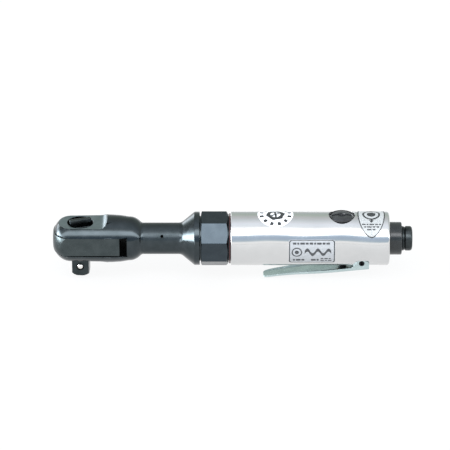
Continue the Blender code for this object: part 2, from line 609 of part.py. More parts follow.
def build_throttle():
    place = (PLUNGER_X, 0, 0)
    foot = lever_floor(PLUNGER_X) + GAP
    plunger = [(-1.35, 0.0), (-1.35, 1.2), (-2.6, 1.8), (-11.0, 1.8), (-11.0, PLUNGER_RADIUS),
               (foot + 0.7, PLUNGER_RADIUS), (foot, 1.5), (foot, 0.0)]
    piece("throttle_plunger", spun(list(reversed(plunger)), "Z", place, 18), "black_polymer", place)
    ring("throttle_bushing", "bronze", "Z", place, -19.2, -12.6, PLUNGER_RADIUS + GAP, 5.0, 20)
    ring("plunger_seal", "rubber", "Z", place, -9.2, -7.9, 2.1, 4.9, 20)
    valve = [(VALVE_X - 18.5, 0.0), (VALVE_X - 18.5, 1.0), (VALVE_X, 1.0), (VALVE_X, 5.5),
             (VALVE_X + 2.0, 5.5), (VALVE_X + 2.0, 0.0)]
    pivot = (VALVE_X, 0.0, -5.5)
    piece("tilt_valve", spun(valve, "X", segments=16), "bronze", pivot)
    ring("valve_seat", "rubber", "X", (0, 0, 0), SEAT_X, VALVE_X - GAP, 3.6, 8.6, 20)
    spring = coil((VALVE_X + 2.7, 0, 0), (1, 0, 0), 4.0, 0.35, 5.4, 3, 10, 3)
    piece("valve_spring", spring, "bright_steel")


def build_inlet():
    profile = [
        (220.0, 8.7), (229.7, 8.7), (229.7, 8.3), (DEFLECTOR_END_X + 0.3, 8.3),
        (DEFLECTOR_END_X + 0.3, INLET_RADIUS), (240.2, INLET_RADIUS), (240.2, 8.4), (241.2, 8.4),
        (241.2, INLET_RADIUS), (INLET_END_X - 1.2, INLET_RADIUS), (INLET_END_X - 0.35, INLET_RADIUS - 0.35),
        (INLET_END_X, INLET_RADIUS - 1.2), (INLET_END_X, PORT_RADIUS + 0.6),
        (INLET_END_X - 0.8, PORT_RADIUS), (PORT_END_X, PORT_RADIUS), (PORT_END_X, 4.2), (220.0, 4.2),
    ]
    piece("inlet_bushing", spun(profile, "X", segments=24), "phosphated_steel")
    holes = [circle((0, 0), 0.7, 6)]
    for index in range(6):
        holes.append(circle(arc((0, 0), 2.6, index * 60.0, index * 60.0, 1)[0], 0.8, 6))
    outline = circle((0, 0), PORT_RADIUS - GAP, 20)
    screen = extruded([outline] + holes, "X", PORT_END_X + 0.3, PORT_END_X + 1.0)
    piece("inlet_screen", screen, "bright_steel")
    shell = [
        (HOUSING_END_X + 0.3, DEFLECTOR_RADIUS), (DEFLECTOR_END_X - 0.8, DEFLECTOR_RADIUS),
        (DEFLECTOR_END_X, DEFLECTOR_RADIUS - 0.8), (DEFLECTOR_END_X, 8.6), (DEFLECTOR_END_X - 1.6, 8.6),
        (DEFLECTOR_END_X - 1.6, 11.0), (HOUSING_END_X + 0.3, 11.0),
    ]
    deflector = piece("exhaust_deflector", spun(shell, "X", segments=28), "black_polymer")
    window = extruded([rectangle((231.6, -3.5), (235.6, 3.5))], "Y", 6.0, 16.0)
    combine(deflector, window, "exhaust_window_cutter")
    ring("deflector_seal", "rubber", "X", (0, 0, 0), 235.2, 236.7, 8.6, 10.6)


build_ratchet_housing()
build_ratchet_yoke()
build_anvil()
build_pawl()
build_reverse_knob()
build_anvil_fittings()
build_crankshaft()
build_gears()
build_clamp_nut()
build_motor_housing()
build_motor()
build_regulator()
build_lever()
build_throttle()
build_inlet()
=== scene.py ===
"""Air ratchet: the looks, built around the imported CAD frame.

Every length below is in millimetres, with z counted from the tool's own axis,
and MM turns it into metres when a mesh is made. The ends and sizes of the CAD
nodes are read from the frame with edges(); the finer shapes between them are
named or listed here.
"""

import json
import math

import bmesh
import bpy
from mathutils import Matrix, Vector


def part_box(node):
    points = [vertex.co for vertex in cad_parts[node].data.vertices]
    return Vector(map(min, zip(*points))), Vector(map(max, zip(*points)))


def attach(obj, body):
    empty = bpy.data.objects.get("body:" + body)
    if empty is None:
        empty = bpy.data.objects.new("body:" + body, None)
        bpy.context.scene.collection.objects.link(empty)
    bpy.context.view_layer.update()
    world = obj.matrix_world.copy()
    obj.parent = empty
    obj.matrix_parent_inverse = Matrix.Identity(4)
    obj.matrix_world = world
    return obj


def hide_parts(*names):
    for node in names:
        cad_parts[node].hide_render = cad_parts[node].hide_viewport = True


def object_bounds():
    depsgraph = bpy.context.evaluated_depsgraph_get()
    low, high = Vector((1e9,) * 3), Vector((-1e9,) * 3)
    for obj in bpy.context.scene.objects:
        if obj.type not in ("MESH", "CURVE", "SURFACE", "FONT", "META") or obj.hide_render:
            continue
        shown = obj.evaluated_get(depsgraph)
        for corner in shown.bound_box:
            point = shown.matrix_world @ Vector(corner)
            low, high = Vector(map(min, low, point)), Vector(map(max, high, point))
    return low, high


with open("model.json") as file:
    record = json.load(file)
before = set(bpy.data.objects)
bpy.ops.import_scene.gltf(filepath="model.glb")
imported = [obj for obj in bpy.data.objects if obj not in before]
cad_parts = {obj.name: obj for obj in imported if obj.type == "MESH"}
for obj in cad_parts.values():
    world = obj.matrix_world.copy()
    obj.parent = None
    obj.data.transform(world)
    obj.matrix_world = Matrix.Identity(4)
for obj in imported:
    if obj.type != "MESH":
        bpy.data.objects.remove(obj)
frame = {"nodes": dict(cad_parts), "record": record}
cad_low, cad_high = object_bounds()

MM = 0.001
SHARP = math.radians(34.0)
ROUND_SEGMENTS = 144
ROLL_TOLERANCE = 0.06

housing_low, housing_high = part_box("motor_housing")
AXIS_HEIGHT = (housing_low.z + housing_high.z) / 2 / MM
BODY_RADIUS = (housing_high.y - housing_low.y) / 2 / MM


def edges(node):
    """A node's lowest and highest corners in millimetres, with z from the tool axis."""
    low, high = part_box(node)
    drop = Vector((0, 0, AXIS_HEIGHT))
    return low / MM - drop, high / MM - drop


def centre_of(node):
    """The middle of a node's box in millimetres, with z from the tool axis."""
    low, high = edges(node)
    return (low + high) / 2


# Materials: every one is procedural, on object coordinates.

def computed(tree, operation, *values):
    """The result of a new Math node in a node tree, from numbers or other nodes' outputs."""
    node = tree.nodes.new("ShaderNodeMath")
    node.operation = operation
    for socket, value in zip(node.inputs, values):
        if isinstance(value, bpy.types.NodeSocket):
            tree.links.new(value, socket)
        else:
            socket.default_value = value
    return node.outputs["Value"]


class Shader:
    """A Principled material with a few helpers for its nodes."""

    def __init__(self, name, metallic, roughness, colour):
        self.material = bpy.data.materials.new(name)
        self.material.use_nodes = True
        self.tree = self.material.node_tree
        self.nodes = self.tree.nodes
        self.links = self.tree.links
        self.principled = self.nodes["Principled BSDF"]
        self.principled.inputs["Metallic"].default_value = metallic
        self.principled.inputs["Roughness"].default_value = roughness
        self.principled.inputs["Base Color"].default_value = (*colour, 1.0)
        self.place = self.nodes.new("ShaderNodeTexCoord").outputs["Object"]

    def join(self, source, target):
        self.links.new(source, target)

    def mapped(self, scale):
        mapping = self.nodes.new("ShaderNodeMapping")
        mapping.inputs["Scale"].default_value = scale
        self.join(self.place, mapping.inputs["Vector"])
        return mapping.outputs["Vector"]

    def noise(self, size_mm, detail=3.0, stretch=(1, 1, 1), distortion=0.0):
        """Noise whose features are about size_mm across, drawn out where stretch is below 1."""
        texture = self.nodes.new("ShaderNodeTexNoise")
        texture.inputs["Scale"].default_value = 1.0 / (size_mm * MM)
        texture.inputs["Detail"].default_value = detail
        texture.inputs["Distortion"].default_value = distortion
        self.join(self.mapped(stretch), texture.inputs["Vector"])
        return texture.outputs["Fac"]

    def ramp(self, source, stops):
        ramp = self.nodes.new("ShaderNodeValToRGB")
        elements = ramp.color_ramp.elements
        while len(elements) < len(stops):
            elements.new(0.5)
        for element, (place, colour) in zip(elements, stops):
            element.position = place
            element.color = (*colour, 1.0)
        self.join(source, ramp.inputs["Fac"])
        return ramp.outputs["Color"]

    def scaled(self, source, low, high, to_low, to_high):
        node = self.nodes.new("ShaderNodeMapRange")
        node.inputs["From Min"].default_value = low
        node.inputs["From Max"].default_value = high
        node.inputs["To Min"].default_value = to_low
        node.inputs["To Max"].default_value = to_high
        self.join(source, node.inputs["Value"])
        return node.outputs["Result"]

    def bumped(self, source, strength, depth_mm):
        """Adds a bump on top of any bump there is already."""
        bump = self.nodes.new("ShaderNodeBump")
        bump.inputs["Strength"].default_value = strength
        bump.inputs["Distance"].default_value = depth_mm * MM
        self.join(source, bump.inputs["Height"])
        normal = self.principled.inputs["Normal"]
        if normal.is_linked:
            self.join(normal.links[0].from_socket, bump.inputs["Normal"])
        self.join(bump.outputs["Normal"], normal)

    def colour_from(self, source):
        self.join(source, self.principled.inputs["Base Color"])

    def roughness_from(self, source):
        self.join(source, self.principled.inputs["Roughness"])


def phosphated_steel(name, dark, light, rough_low=0.11, rough_high=0.20, grain=0.003, wave=0.10):
    """Oiled black phosphate on forged steel: cool, slightly green, faintly mottled and gently uneven."""
    shader = Shader(name, 1.0, (rough_low + rough_high) / 2, light)
    shader.colour_from(shader.ramp(shader.noise(6.0, 5.0), [(0.32, dark), (0.68, light)]))
    shader.roughness_from(shader.scaled(shader.noise(3.0, 6.0), 0.3, 0.7, rough_low, rough_high))
    shader.bumped(shader.noise(0.45, 3.0), 0.5, grain)
    shader.bumped(shader.noise(16.0, 1.0), 1.0, wave)
    return shader.material


def plated_steel(name, dark, light, rough_low, rough_high, stretch):
    """Plated or ground steel with fine drawn-out polishing lines."""
    shader = Shader(name, 1.0, (rough_low + rough_high) / 2, light)
    lines = shader.noise(0.6, 3.0, stretch)
    shader.colour_from(shader.ramp(shader.noise(9.0, 4.0), [(0.35, dark), (0.65, light)]))
    shader.roughness_from(shader.scaled(lines, 0.3, 0.7, rough_low, rough_high))
    shader.bumped(lines, 0.3, 0.002)
    return shader.material


def polished_aluminium(name):
    """Buffed aluminium: a bright mirror with faint turning lines, haze patches and hairline scratches."""
    light = (0.655, 0.660, 0.660)
    shader = Shader(name, 1.0, 0.1, light)
    haze = shader.noise(14.0, 4.0)
    shader.colour_from(shader.ramp(haze, [(0.3, (0.615, 0.622, 0.624)), (0.7, light)]))
    lines = shader.noise(0.45, 2.0, (1.0, 0.06, 0.06))
    hazy = shader.scaled(haze, 0.3, 0.7, 0.075, 0.13)
    scored = shader.scaled(lines, 0.35, 0.65, 0.0, 0.045)
    shader.roughness_from(computed(shader.tree, "ADD", hazy, scored))
    shader.bumped(lines, 0.3, 0.001)
    shader.bumped(shader.noise(60.0, 1.0, (1.0, 0.5, 0.5)), 1.0, 7.0)
    return shader.material


def moulded_polymer(name, dark, light, rough_low, rough_high):
    shader = Shader(name, 0.0, rough_low, light)
    shader.colour_from(shader.ramp(shader.noise(4.0, 4.0), [(0.3, dark), (0.7, light)]))
    shader.roughness_from(shader.scaled(shader.noise(1.6, 4.0), 0.3, 0.7, rough_low, rough_high))
    shader.bumped(shader.noise(0.25, 2.0), 0.25, 0.015)
    return shader.material


def fibre_gasket(name):
    """Pressed red fibre with a short, flecked grain, its red darkened nearly to black as painted shade in
    the gap between the nut and the housing.
    """
    shader = Shader(name, 0.0, 0.7, (0.30, 0.03, 0.02))
    flecks = shader.noise(0.5, 5.0, (1.0, 0.35, 0.35))
    # Painted shade: the real red of the fibre is darkened nearly to black, for the shaded gap it sits in.
    stops = [(0.3, (0.016, 0.002, 0.002)), (0.55, (0.04, 0.004, 0.004)), (0.8, (0.07, 0.008, 0.007))]
    shader.colour_from(shader.ramp(flecks, stops))
    shader.bumped(flecks, 0.5, 0.03)
    return shader.material


def printed_film(name, dark, light, roughness):
    """Label stock or ink: a faintly mottled matt film."""
    shader = Shader(name, 0.0, roughness, light)
    shader.colour_from(shader.ramp(shader.noise(1.2, 4.0), [(0.3, dark), (0.7, light)]))
    mottle = shader.noise(0.9, 3.0)
    shader.roughness_from(shader.scaled(mottle, 0.3, 0.7, roughness - 0.06, roughness + 0.06))
    shader.bumped(shader.noise(0.3, 2.0), 0.08, 0.01)
    return shader.material


def laminate(name):
    """Phenolic cloth laminate with its weave showing."""
    shader = Shader(name, 0.0, 0.6, (0.24, 0.13, 0.06))
    weave = shader.nodes.new("ShaderNodeTexWave")
    weave.inputs["Scale"].default_value = 900.0
    weave.inputs["Distortion"].default_value = 2.0
    shader.join(shader.place, weave.inputs["Vector"])
    threads = [(0.2, (0.16, 0.08, 0.035)), (0.8, (0.30, 0.17, 0.08))]
    shader.colour_from(shader.ramp(weave.outputs["Fac"], threads))
    shader.bumped(weave.outputs["Fac"], 0.2, 0.02)
    return shader.material


def toned(material, low, high, tone, roughness, roll=None):
    """Changes a material inside a box, or only on a roll's surface in it.

    Lengths are millimetres; heights are from the tool's axis, up or down alike.
    """
    tree = material.node_tree
    split = tree.nodes.new("ShaderNodeSeparateXYZ")
    tree.links.new(tree.nodes.new("ShaderNodeTexCoord").outputs["Object"], split.inputs["Vector"])
    along = split.outputs["X"]
    height = computed(tree, "ABSOLUTE", computed(tree, "SUBTRACT", split.outputs["Z"], AXIS_HEIGHT * MM))
    inside = 1.0
    for value, least, most in zip((along, split.outputs["Y"], height), low, high):
        within = computed(tree, "COMPARE", value, (least + most) / 2 * MM, (most - least) / 2 * MM)
        inside = computed(tree, "MULTIPLY", inside, within)
    if roll:
        centre_x, centre_z, radius = roll
        run = computed(tree, "POWER", computed(tree, "SUBTRACT", along, centre_x * MM), 2.0)
        rise = computed(tree, "POWER", computed(tree, "SUBTRACT", height, centre_z * MM), 2.0)
        distance = computed(tree, "SQRT", computed(tree, "ADD", run, rise))
        on_roll = computed(tree, "COMPARE", distance, radius * MM, ROLL_TOLERANCE * MM)
        inside = computed(tree, "MULTIPLY", inside, on_roll)
    for name, data_type, blend, value in (("Base Color", "RGBA", "MULTIPLY", (tone, tone, tone, 1.0)),
                                          ("Roughness", "FLOAT", "MIX", roughness)):
        socket = tree.nodes["Principled BSDF"].inputs[name]
        mix = tree.nodes.new("ShaderNodeMix")
        mix.data_type = data_type
        mix.blend_type = blend
        mix.clamp_result = False
        tree.links.new(inside, mix.inputs["Factor"])
        tree.links.new(socket.links[0].from_socket, mix.inputs["A"])
        mix.inputs["B"].default_value = value
        tree.links.new(mix.outputs["Result"], socket)


HEAD_STEEL = phosphated_steel("head_black_phosphate", (0.042, 0.052, 0.056), (0.056, 0.067, 0.073))
YOKE_STEEL = phosphated_steel("yoke_black_phosphate",
                              (0.054, 0.067, 0.070), (0.069, 0.084, 0.087), 0.24, 0.34)
DRIVE_STEEL = phosphated_steel("drive_black_phosphate",
                               (0.032, 0.040, 0.043), (0.046, 0.056, 0.060), 0.18, 0.30)
KNOB_STEEL = phosphated_steel("knob_black_phosphate",
                              (0.034, 0.041, 0.043), (0.055, 0.064, 0.067), 0.16, 0.28)
NUT_STEEL = phosphated_steel("nut_blued_steel",
                             (0.044, 0.056, 0.066), (0.054, 0.068, 0.079), 0.18, 0.28)
INLET_STEEL = phosphated_steel("inlet_rough_phosphate",
                               (0.024, 0.029, 0.030), (0.070, 0.080, 0.083), 0.28, 0.46, 0.03)
PIN_STEEL = phosphated_steel("pin_black_oxide",
                             (0.015, 0.016, 0.018), (0.028, 0.031, 0.033), 0.35, 0.5)
# Painted shade: very dark steel for the parts inside the fork, where little light reaches.
SHADED_INNER_STEEL = phosphated_steel("inner_steel_painted_shade",
                               (0.030, 0.031, 0.034), (0.052, 0.053, 0.056), 0.22, 0.35)
ALUMINIUM = polished_aluminium("housing_polished_aluminium")
LEVER_STEEL = plated_steel("lever_zinc_plate",
                           (0.44, 0.54, 0.545), (0.52, 0.62, 0.625), 0.24, 0.34, (0.1, 1, 1))
BRIGHT_STEEL = plated_steel("bright_ground_steel",
                            (0.74, 0.72, 0.69), (0.86, 0.84, 0.80), 0.08, 0.16, (1, 1, 1))
GROUND_STEEL = plated_steel("hardened_ground_steel",
                            (0.30, 0.30, 0.31), (0.44, 0.44, 0.46), 0.25, 0.4, (1, 0.2, 0.2))
BRONZE = plated_steel("sintered_bronze", (0.42, 0.25, 0.10), (0.62, 0.40, 0.19), 0.35, 0.5, (1, 1, 1))
POLYMER = moulded_polymer("deflector_satin_black",
                          (0.008, 0.011, 0.012), (0.015, 0.019, 0.020), 0.17, 0.26)
DIAL_BLACK = moulded_polymer("dial_gloss_black", (0.016, 0.017, 0.019), (0.026, 0.028, 0.031), 0.16, 0.28)
PLUNGER_BLACK = moulded_polymer("plunger_black", (0.006, 0.006, 0.007), (0.014, 0.014, 0.015), 0.35, 0.5)
RUBBER = moulded_polymer("seal_rubber", (0.006, 0.006, 0.006), (0.016, 0.016, 0.016), 0.5, 0.7)
GASKET_RED = fibre_gasket("gasket_red_fibre")
VANE_BROWN = laminate("vane_laminate")
LABEL_WHITE = printed_film("label_white_film", (0.80, 0.82, 0.85), (0.88, 0.89, 0.92), 0.35)
PLATE_SILVER = printed_film("plate_silver_film", (0.32, 0.335, 0.35), (0.37, 0.385, 0.40), 0.35)
PLATE_CLEAR = printed_film("plate_clear_film", (0.34, 0.355, 0.355), (0.39, 0.405, 0.405), 0.30)
INK = printed_film("printed_ink", (0.012, 0.014, 0.015), (0.03, 0.033, 0.035), 0.45)
PLATE_INK = printed_film("printed_grey_ink", (0.03, 0.032, 0.035), (0.055, 0.058, 0.062), 0.45)

SLOT_MATERIALS = {
    "head_steel": HEAD_STEEL, "yoke_steel": YOKE_STEEL, "drive_steel": DRIVE_STEEL,
    "bright_steel": BRIGHT_STEEL, "knob_steel": KNOB_STEEL, "hardened_steel": GROUND_STEEL,
    "bronze": BRONZE, "nut_steel": NUT_STEEL, "gasket_red": GASKET_RED,
    "housing_aluminium": ALUMINIUM, "vane": VANE_BROWN, "regulator_black": DIAL_BLACK,
    "lever_steel": LEVER_STEEL, "pin_black": PIN_STEEL, "plunger_black": PLUNGER_BLACK,
    "deflector_black": POLYMER, "inlet_steel": INLET_STEEL, "seal_rubber": RUBBER,
}
# The parts that work inside the fork are darkened: painted shade for the dim inside of the fork.
NODE_MATERIALS = {"crankshaft": SHADED_INNER_STEEL, "drive_bushing": SHADED_INNER_STEEL, "pawl": SHADED_INNER_STEEL}


def finish_cad_nodes():
    """Gives each CAD node that stays in view or inside the tool its procedural material."""
    for subpart in frame["record"]["subparts"]:
        mesh = frame["nodes"][subpart["node"]].data
        mesh.materials.clear()
        usual = SLOT_MATERIALS[subpart["material_slot"]]
        mesh.materials.append(NODE_MATERIALS.get(subpart["node"], usual))


# Outlines.

def arc(centre, radius, start, end, steps):
    """Points of an arc, angles in degrees."""
    points = []
    for step in range(steps + 1):
        angle = math.radians(start + (end - start) * step / steps)
        points.append((centre[0] + radius * math.cos(angle), centre[1] + radius * math.sin(angle)))
    return points


def circle(centre, radius, steps=72, turn=0.0):
    return arc(centre, radius, turn, turn + 360.0, steps)[:-1]


def rectangle(low, high):
    return [(low[0], low[1]), (high[0], low[1]), (high[0], high[1]), (low[0], high[1])]


def turned(points, angle, centre=(0.0, 0.0)):
    cosine = math.cos(angle)
    sine = math.sin(angle)
    result = []
    for u, v in points:
        du = u - centre[0]
        dv = v - centre[1]
        result.append((centre[0] + du * cosine - dv * sine, centre[1] + du * sine + dv * cosine))
    return result


def rounded(points, radius, steps=5):
    """A closed outline with each corner rounded to about the given radius."""
    result = []
    count = len(points)
    for index, corner in enumerate(points):
        here = Vector(corner)
        before = Vector(points[index - 1]) - here
        after = Vector(points[(index + 1) % count]) - here
        reach = min(radius, before.length * 0.45, after.length * 0.45)
        start = here + before.normalized() * reach
        end = here + after.normalized() * reach
        for step in range(steps + 1):
            share = step / steps
            point = start * (1 - share) ** 2 + here * 2 * share * (1 - share) + end * share ** 2
            result.append((point.x, point.y))
    return result


# Solids.

def spun(profile, axis, centre=(0.0, 0.0, 0.0), segments=ROUND_SEGMENTS):
    """A closed profile of (along, radius) points, spun about an X or Z axis through a centre."""
    work = bmesh.new()
    direction = Vector((1, 0, 0)) if axis == "X" else Vector((0, 0, 1))
    rim = Vector((0, 0, 1)) if axis == "X" else Vector((1, 0, 0))
    corners = [work.verts.new(Vector(centre) + direction * a + rim * r) for a, r in profile]
    lines = []
    for index, corner in enumerate(corners):
        following = (index + 1) % len(corners)
        if profile[index][1] > 0 or profile[following][1] > 0:
            lines.append(work.edges.new((corner, corners[following])))
    bmesh.ops.spin(work, geom=corners + lines, cent=centre, axis=direction, angle=2 * math.pi,
                   steps=segments, use_merge=True)
    bmesh.ops.remove_doubles(work, verts=work.verts, dist=0.00001)
    bmesh.ops.dissolve_degenerate(work, edges=work.edges, dist=0.00001)
    return work


def extruded(outlines, axis, start, end):
    """Closed outlines, the later ones holes, extruded along an axis from start to end."""
    work = bmesh.new()

    def corner(u, v):
        places = {"X": (start, u, v), "Y": (u, start, v), "Z": (u, v, start)}
        return work.verts.new(places[axis])

    lines = []
    for outline in outlines:
        corners = [corner(u, v) for u, v in outline]
        for index, vertex in enumerate(corners):
            lines.append(work.edges.new((vertex, corners[(index + 1) % len(corners)])))
    if len(outlines) == 1:
        work.faces.new(work.verts[:])
    else:
        bmesh.ops.triangle_fill(work, use_beauty=True, use_dissolve=False, edges=lines)
    extrusion = bmesh.ops.extrude_face_region(work, geom=work.faces[:])
    direction = {"X": Vector((1, 0, 0)), "Y": Vector((0, 1, 0)), "Z": Vector((0, 0, 1))}[axis]
    moved = [item for item in extrusion["geom"] if isinstance(item, bmesh.types.BMVert)]
    bmesh.ops.translate(work, verts=moved, vec=direction * (end - start))
    return work


def rotated(work, angle, axis, centre=(0, 0, 0)):
    bmesh.ops.rotate(work, cent=centre, matrix=Matrix.Rotation(angle, 3, axis), verts=work.verts)
    return work


def make_object(name, work):
    """An object at the frame's origin, its mesh in metres."""
    bmesh.ops.recalc_face_normals(work, faces=work.faces)
    to_frame = Matrix.Scale(MM, 4) @ Matrix.Translation((0, 0, AXIS_HEIGHT))
    bmesh.ops.transform(work, matrix=to_frame, verts=work.verts)
    mesh = bpy.data.meshes.new(name)
    work.to_mesh(mesh)
    work.free()
    result = bpy.data.objects.new(name, mesh)
    bpy.context.scene.collection.objects.link(result)
    return result


def bake_modifiers(target):
    """Turns the target's modifiers into plain mesh."""
    graph = bpy.context.evaluated_depsgraph_get()
    mesh = bpy.data.meshes.new_from_object(target.evaluated_get(graph))
    target.modifiers.clear()
    target.data = mesh


def put_in_order(target):
    """Sorts the target's vertices and faces, so that each run works on them in the same order."""
    mesh = target.data
    places = [vertex.co[:] for vertex in mesh.vertices]
    order = sorted(range(len(places)), key=places.__getitem__)
    rank = {old: new for new, old in enumerate(order)}
    faces = []
    for polygon in mesh.polygons:
        corners = [rank[index] for index in polygon.vertices]
        first = corners.index(min(corners))
        faces.append(corners[first:] + corners[:first])
    target.data = bpy.data.meshes.new(mesh.name)
    target.data.from_pydata([places[index] for index in order], [], sorted(faces))


def combine(target, work, operation="DIFFERENCE"):
    """Cuts a shape out of the target, or joins it to the target."""
    tool = make_object("tool", work)
    modifier = target.modifiers.new("cut", "BOOLEAN")
    modifier.operation = operation
    modifier.solver = "EXACT"
    modifier.object = tool
    bake_modifiers(target)
    put_in_order(target)
    bpy.data.objects.remove(tool, do_unlink=True)


def smooth_shade(mesh):
    mesh.polygons.foreach_set("use_smooth", [True] * len(mesh.polygons))
    mesh.set_sharp_from_angle(angle=SHARP)


def soften(target, width, segments=3, angle=SHARP):
    """Rounds the target's sharp edges by a width in millimetres."""
    tidy = bmesh.new()
    tidy.from_mesh(target.data)
    bmesh.ops.remove_doubles(tidy, verts=tidy.verts, dist=0.02 * MM)
    bmesh.ops.dissolve_degenerate(tidy, edges=tidy.edges, dist=0.01 * MM)
    tidy.to_mesh(target.data)
    tidy.free()
    smooth_shade(target.data)
    bevel = target.modifiers.new("soft_edges", "BEVEL")
    bevel.width = width * MM
    bevel.segments = segments
    bevel.limit_method = "ANGLE"
    bevel.angle_limit = angle
    bevel.use_clamp_overlap = False
    bevel.harden_normals = True
    bake_modifiers(target)


def dress(target, material, body, node=None):
    """Shades a finished piece, gives it its material, and ties it to the frame."""
    mesh = target.data
    mesh.materials.clear()
    mesh.materials.append(material)
    mesh.polygons.foreach_set("material_index", [0] * len(mesh.polygons))
    if not mesh.has_custom_normals:
        smooth_shade(mesh)
    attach(target, body)
    if node:
        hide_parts(node)
    return target


# The head.

NOSE_RADIUS = 13.4
HEAD_RADIUS = 17.3
CROWN_X, CROWN_RADIUS = 19.7, 17.8
SHOULDER_X, SHOULDER_RADIUS = 36.0, 16.4
NECK_START_X, NECK_RADIUS = 45.0, 11.7
CONE_START_X = 74.2
FLANGE_X, FLANGE_RADIUS, FLANGE_END_X = 84.8, 19.9, 88.7
FACET_Z = 13.5
FACET_END_X = 14.4
FACET_ROLL = 6.0
SLOT_HALF = 7.5
SLOT_END_X = 34.5
ANVIL_HOLE_RADIUS = 9.6
DRIVE_SIZE = 12.7
REST_TURN = math.radians(-4.0)
KNOB_TURN = math.radians(17.0)


def head_profile():
    nose_x = edges("ratchet_housing")[0].x
    spigot_end = edges("ratchet_housing")[1].x
    spigot = edges("ring_gear")[1].y + 0.3
    profile = [(nose_x, 0.0)]
    profile += arc((nose_x + NOSE_RADIUS, HEAD_RADIUS - NOSE_RADIUS), NOSE_RADIUS, 180.0, 90.0, 24)
    profile += [(2.0, 17.42), (11.0, 17.65), (CROWN_X, CROWN_RADIUS), (24.0, 17.75), (30.0, 17.35)]
    fillet = 3.2
    turn = math.radians(46.0)
    shoulder_end = (NECK_START_X - 0.3, NECK_RADIUS + fillet * (1 - math.cos(turn)))
    for step in range(17):
        share = step / 16
        profile.append((SHOULDER_X + (shoulder_end[0] - SHOULDER_X) * share,
                        SHOULDER_RADIUS - (SHOULDER_RADIUS - shoulder_end[1]) * share ** 2.3))
    centre = (shoulder_end[0] + fillet * math.sin(turn), NECK_RADIUS + fillet)
    profile += arc(centre, fillet, 270.0 - math.degrees(turn), 270.0, 10)[1:]
    profile += arc((CONE_START_X - 1.6, NECK_RADIUS + 6.0), 6.0, 270.0, 308.0, 10)
    profile += [(FLANGE_X - 0.5, FLANGE_RADIUS - 0.35), (FLANGE_X, FLANGE_RADIUS),
                (FLANGE_END_X - 0.3, FLANGE_RADIUS), (FLANGE_END_X, FLANGE_RADIUS - 0.3),
                (FLANGE_END_X, spigot + 1.75), (spigot_end, spigot + 1.75), (spigot_end, spigot),
                (84.0, spigot), (84.0, 7.2), (SLOT_END_X - 1.5, 7.2), (SLOT_END_X - 1.5, 0.0)]
    return profile


def paint_head_shade_and_highlights():
    """Painted shade inside the fork's slot, painted highlights on the flat facets (the top one round the
    knob) and their rounded run-outs, and a rougher turned neck.
    """
    far = 30.0
    slack = 0.06
    # Painted shade: the steel inside the fork's slot is darkened to 0.08 of its colour and made rough.
    toned(HEAD_STEEL, (-far, -far, -1.0), (SLOT_END_X + 0.3, far, SLOT_HALF + slack), 0.08, 0.8)
    # Painted highlight: the flat facets, top and bottom, are lightened 3.8 times.
    toned(HEAD_STEEL, (-far, -far, FACET_Z - slack), (FACET_END_X, far, FACET_Z + slack), 3.8, 0.30)
    # Painted highlight: the rounded run-out at each facet's end is lightened 3.8 times.
    toned(HEAD_STEEL, (FACET_END_X, -far, FACET_Z - 0.2), (FACET_END_X + FACET_ROLL + 0.2, far, 18.4),
          3.8, 0.34, (FACET_END_X, FACET_Z + FACET_ROLL, FACET_ROLL))
    toned(HEAD_STEEL, (NECK_START_X + 1.8, -far, -1.0), (CONE_START_X - 0.6, far, far), 1.0, 0.34)


def build_head():
    head = make_object("head_shell", spun(head_profile(), "X"))
    nose_x = edges("ratchet_housing")[0].x
    slot = rectangle((nose_x - 5, -SLOT_HALF), (SLOT_END_X, SLOT_HALF))
    combine(head, extruded([slot], "Y", -25, 25))
    for side in (1, -1):
        run_out = arc((FACET_END_X, FACET_Z + FACET_ROLL), FACET_ROLL, -90.0, 0.0, 20)
        outline = [(nose_x - 5, FACET_Z)] + run_out + [(nose_x - 5, FACET_Z + FACET_ROLL)]
        outline = [(u, side * v) for u, v in outline]
        combine(head, extruded([outline], "Y", -25, 25))
    combine(head, extruded([circle((0, 0), ANVIL_HOLE_RADIUS, 96)], "Z", -20, 20))
    combine(head, extruded([circle((0, 0), 10.7, 96)], "Z", 8.3, 9.7))
    combine(head, rotated(extruded([circle((60.7, 0), 1.0, 32)], "Z", 6, 16), math.radians(56.0), "X"))
    soften(head, 0.42, 3)
    dress(head, HEAD_STEEL, "housing_body", "ratchet_housing")


def build_yoke():
    low, high = edges("ratchet_yoke")
    half_width = high.y
    round_x = low.x + NOSE_RADIUS
    round_y = HEAD_RADIUS - NOSE_RADIUS
    corner = math.degrees(math.asin((half_width - round_y) / NOSE_RADIUS))
    nose = arc((round_x, round_y), NOSE_RADIUS, 180.0 - corner, 180.0, 30)
    nose += arc((round_x, -round_y), NOSE_RADIUS, 180.0, 180.0 + corner, 30)
    slot_half = 7.8
    outline = nose + [(high.x, -half_width), (high.x, -slot_half), (19.5, -slot_half), (19.5, slot_half),
                      (high.x, slot_half), (high.x, half_width)]
    tooth_count = 24
    teeth = []
    for tooth in range(tooth_count):
        middle = 2 * math.pi * tooth / tooth_count
        for share, radius in ((-0.8, 11.2), (-0.12, 10.0), (0.12, 10.0), (0.8, 11.2)):
            angle = middle + share * math.pi / tooth_count
            teeth.append((radius * math.cos(angle), radius * math.sin(angle)))
    yoke = make_object("yoke_plate", extruded([outline, teeth], "Z", low.z + 0.2, high.z + 0.22))
    envelope = [(low.x + 0.06, 0.0)] + arc((round_x + 0.06, round_y), NOSE_RADIUS, 180.0, 90.0, 24)
    envelope += [(40.0, HEAD_RADIUS), (40.0, 0.0)]
    combine(yoke, spun(envelope, "X"), "INTERSECT")
    soften(yoke, 0.14, 2)
    dress(yoke, YOKE_STEEL, "yoke_body", "ratchet_yoke")


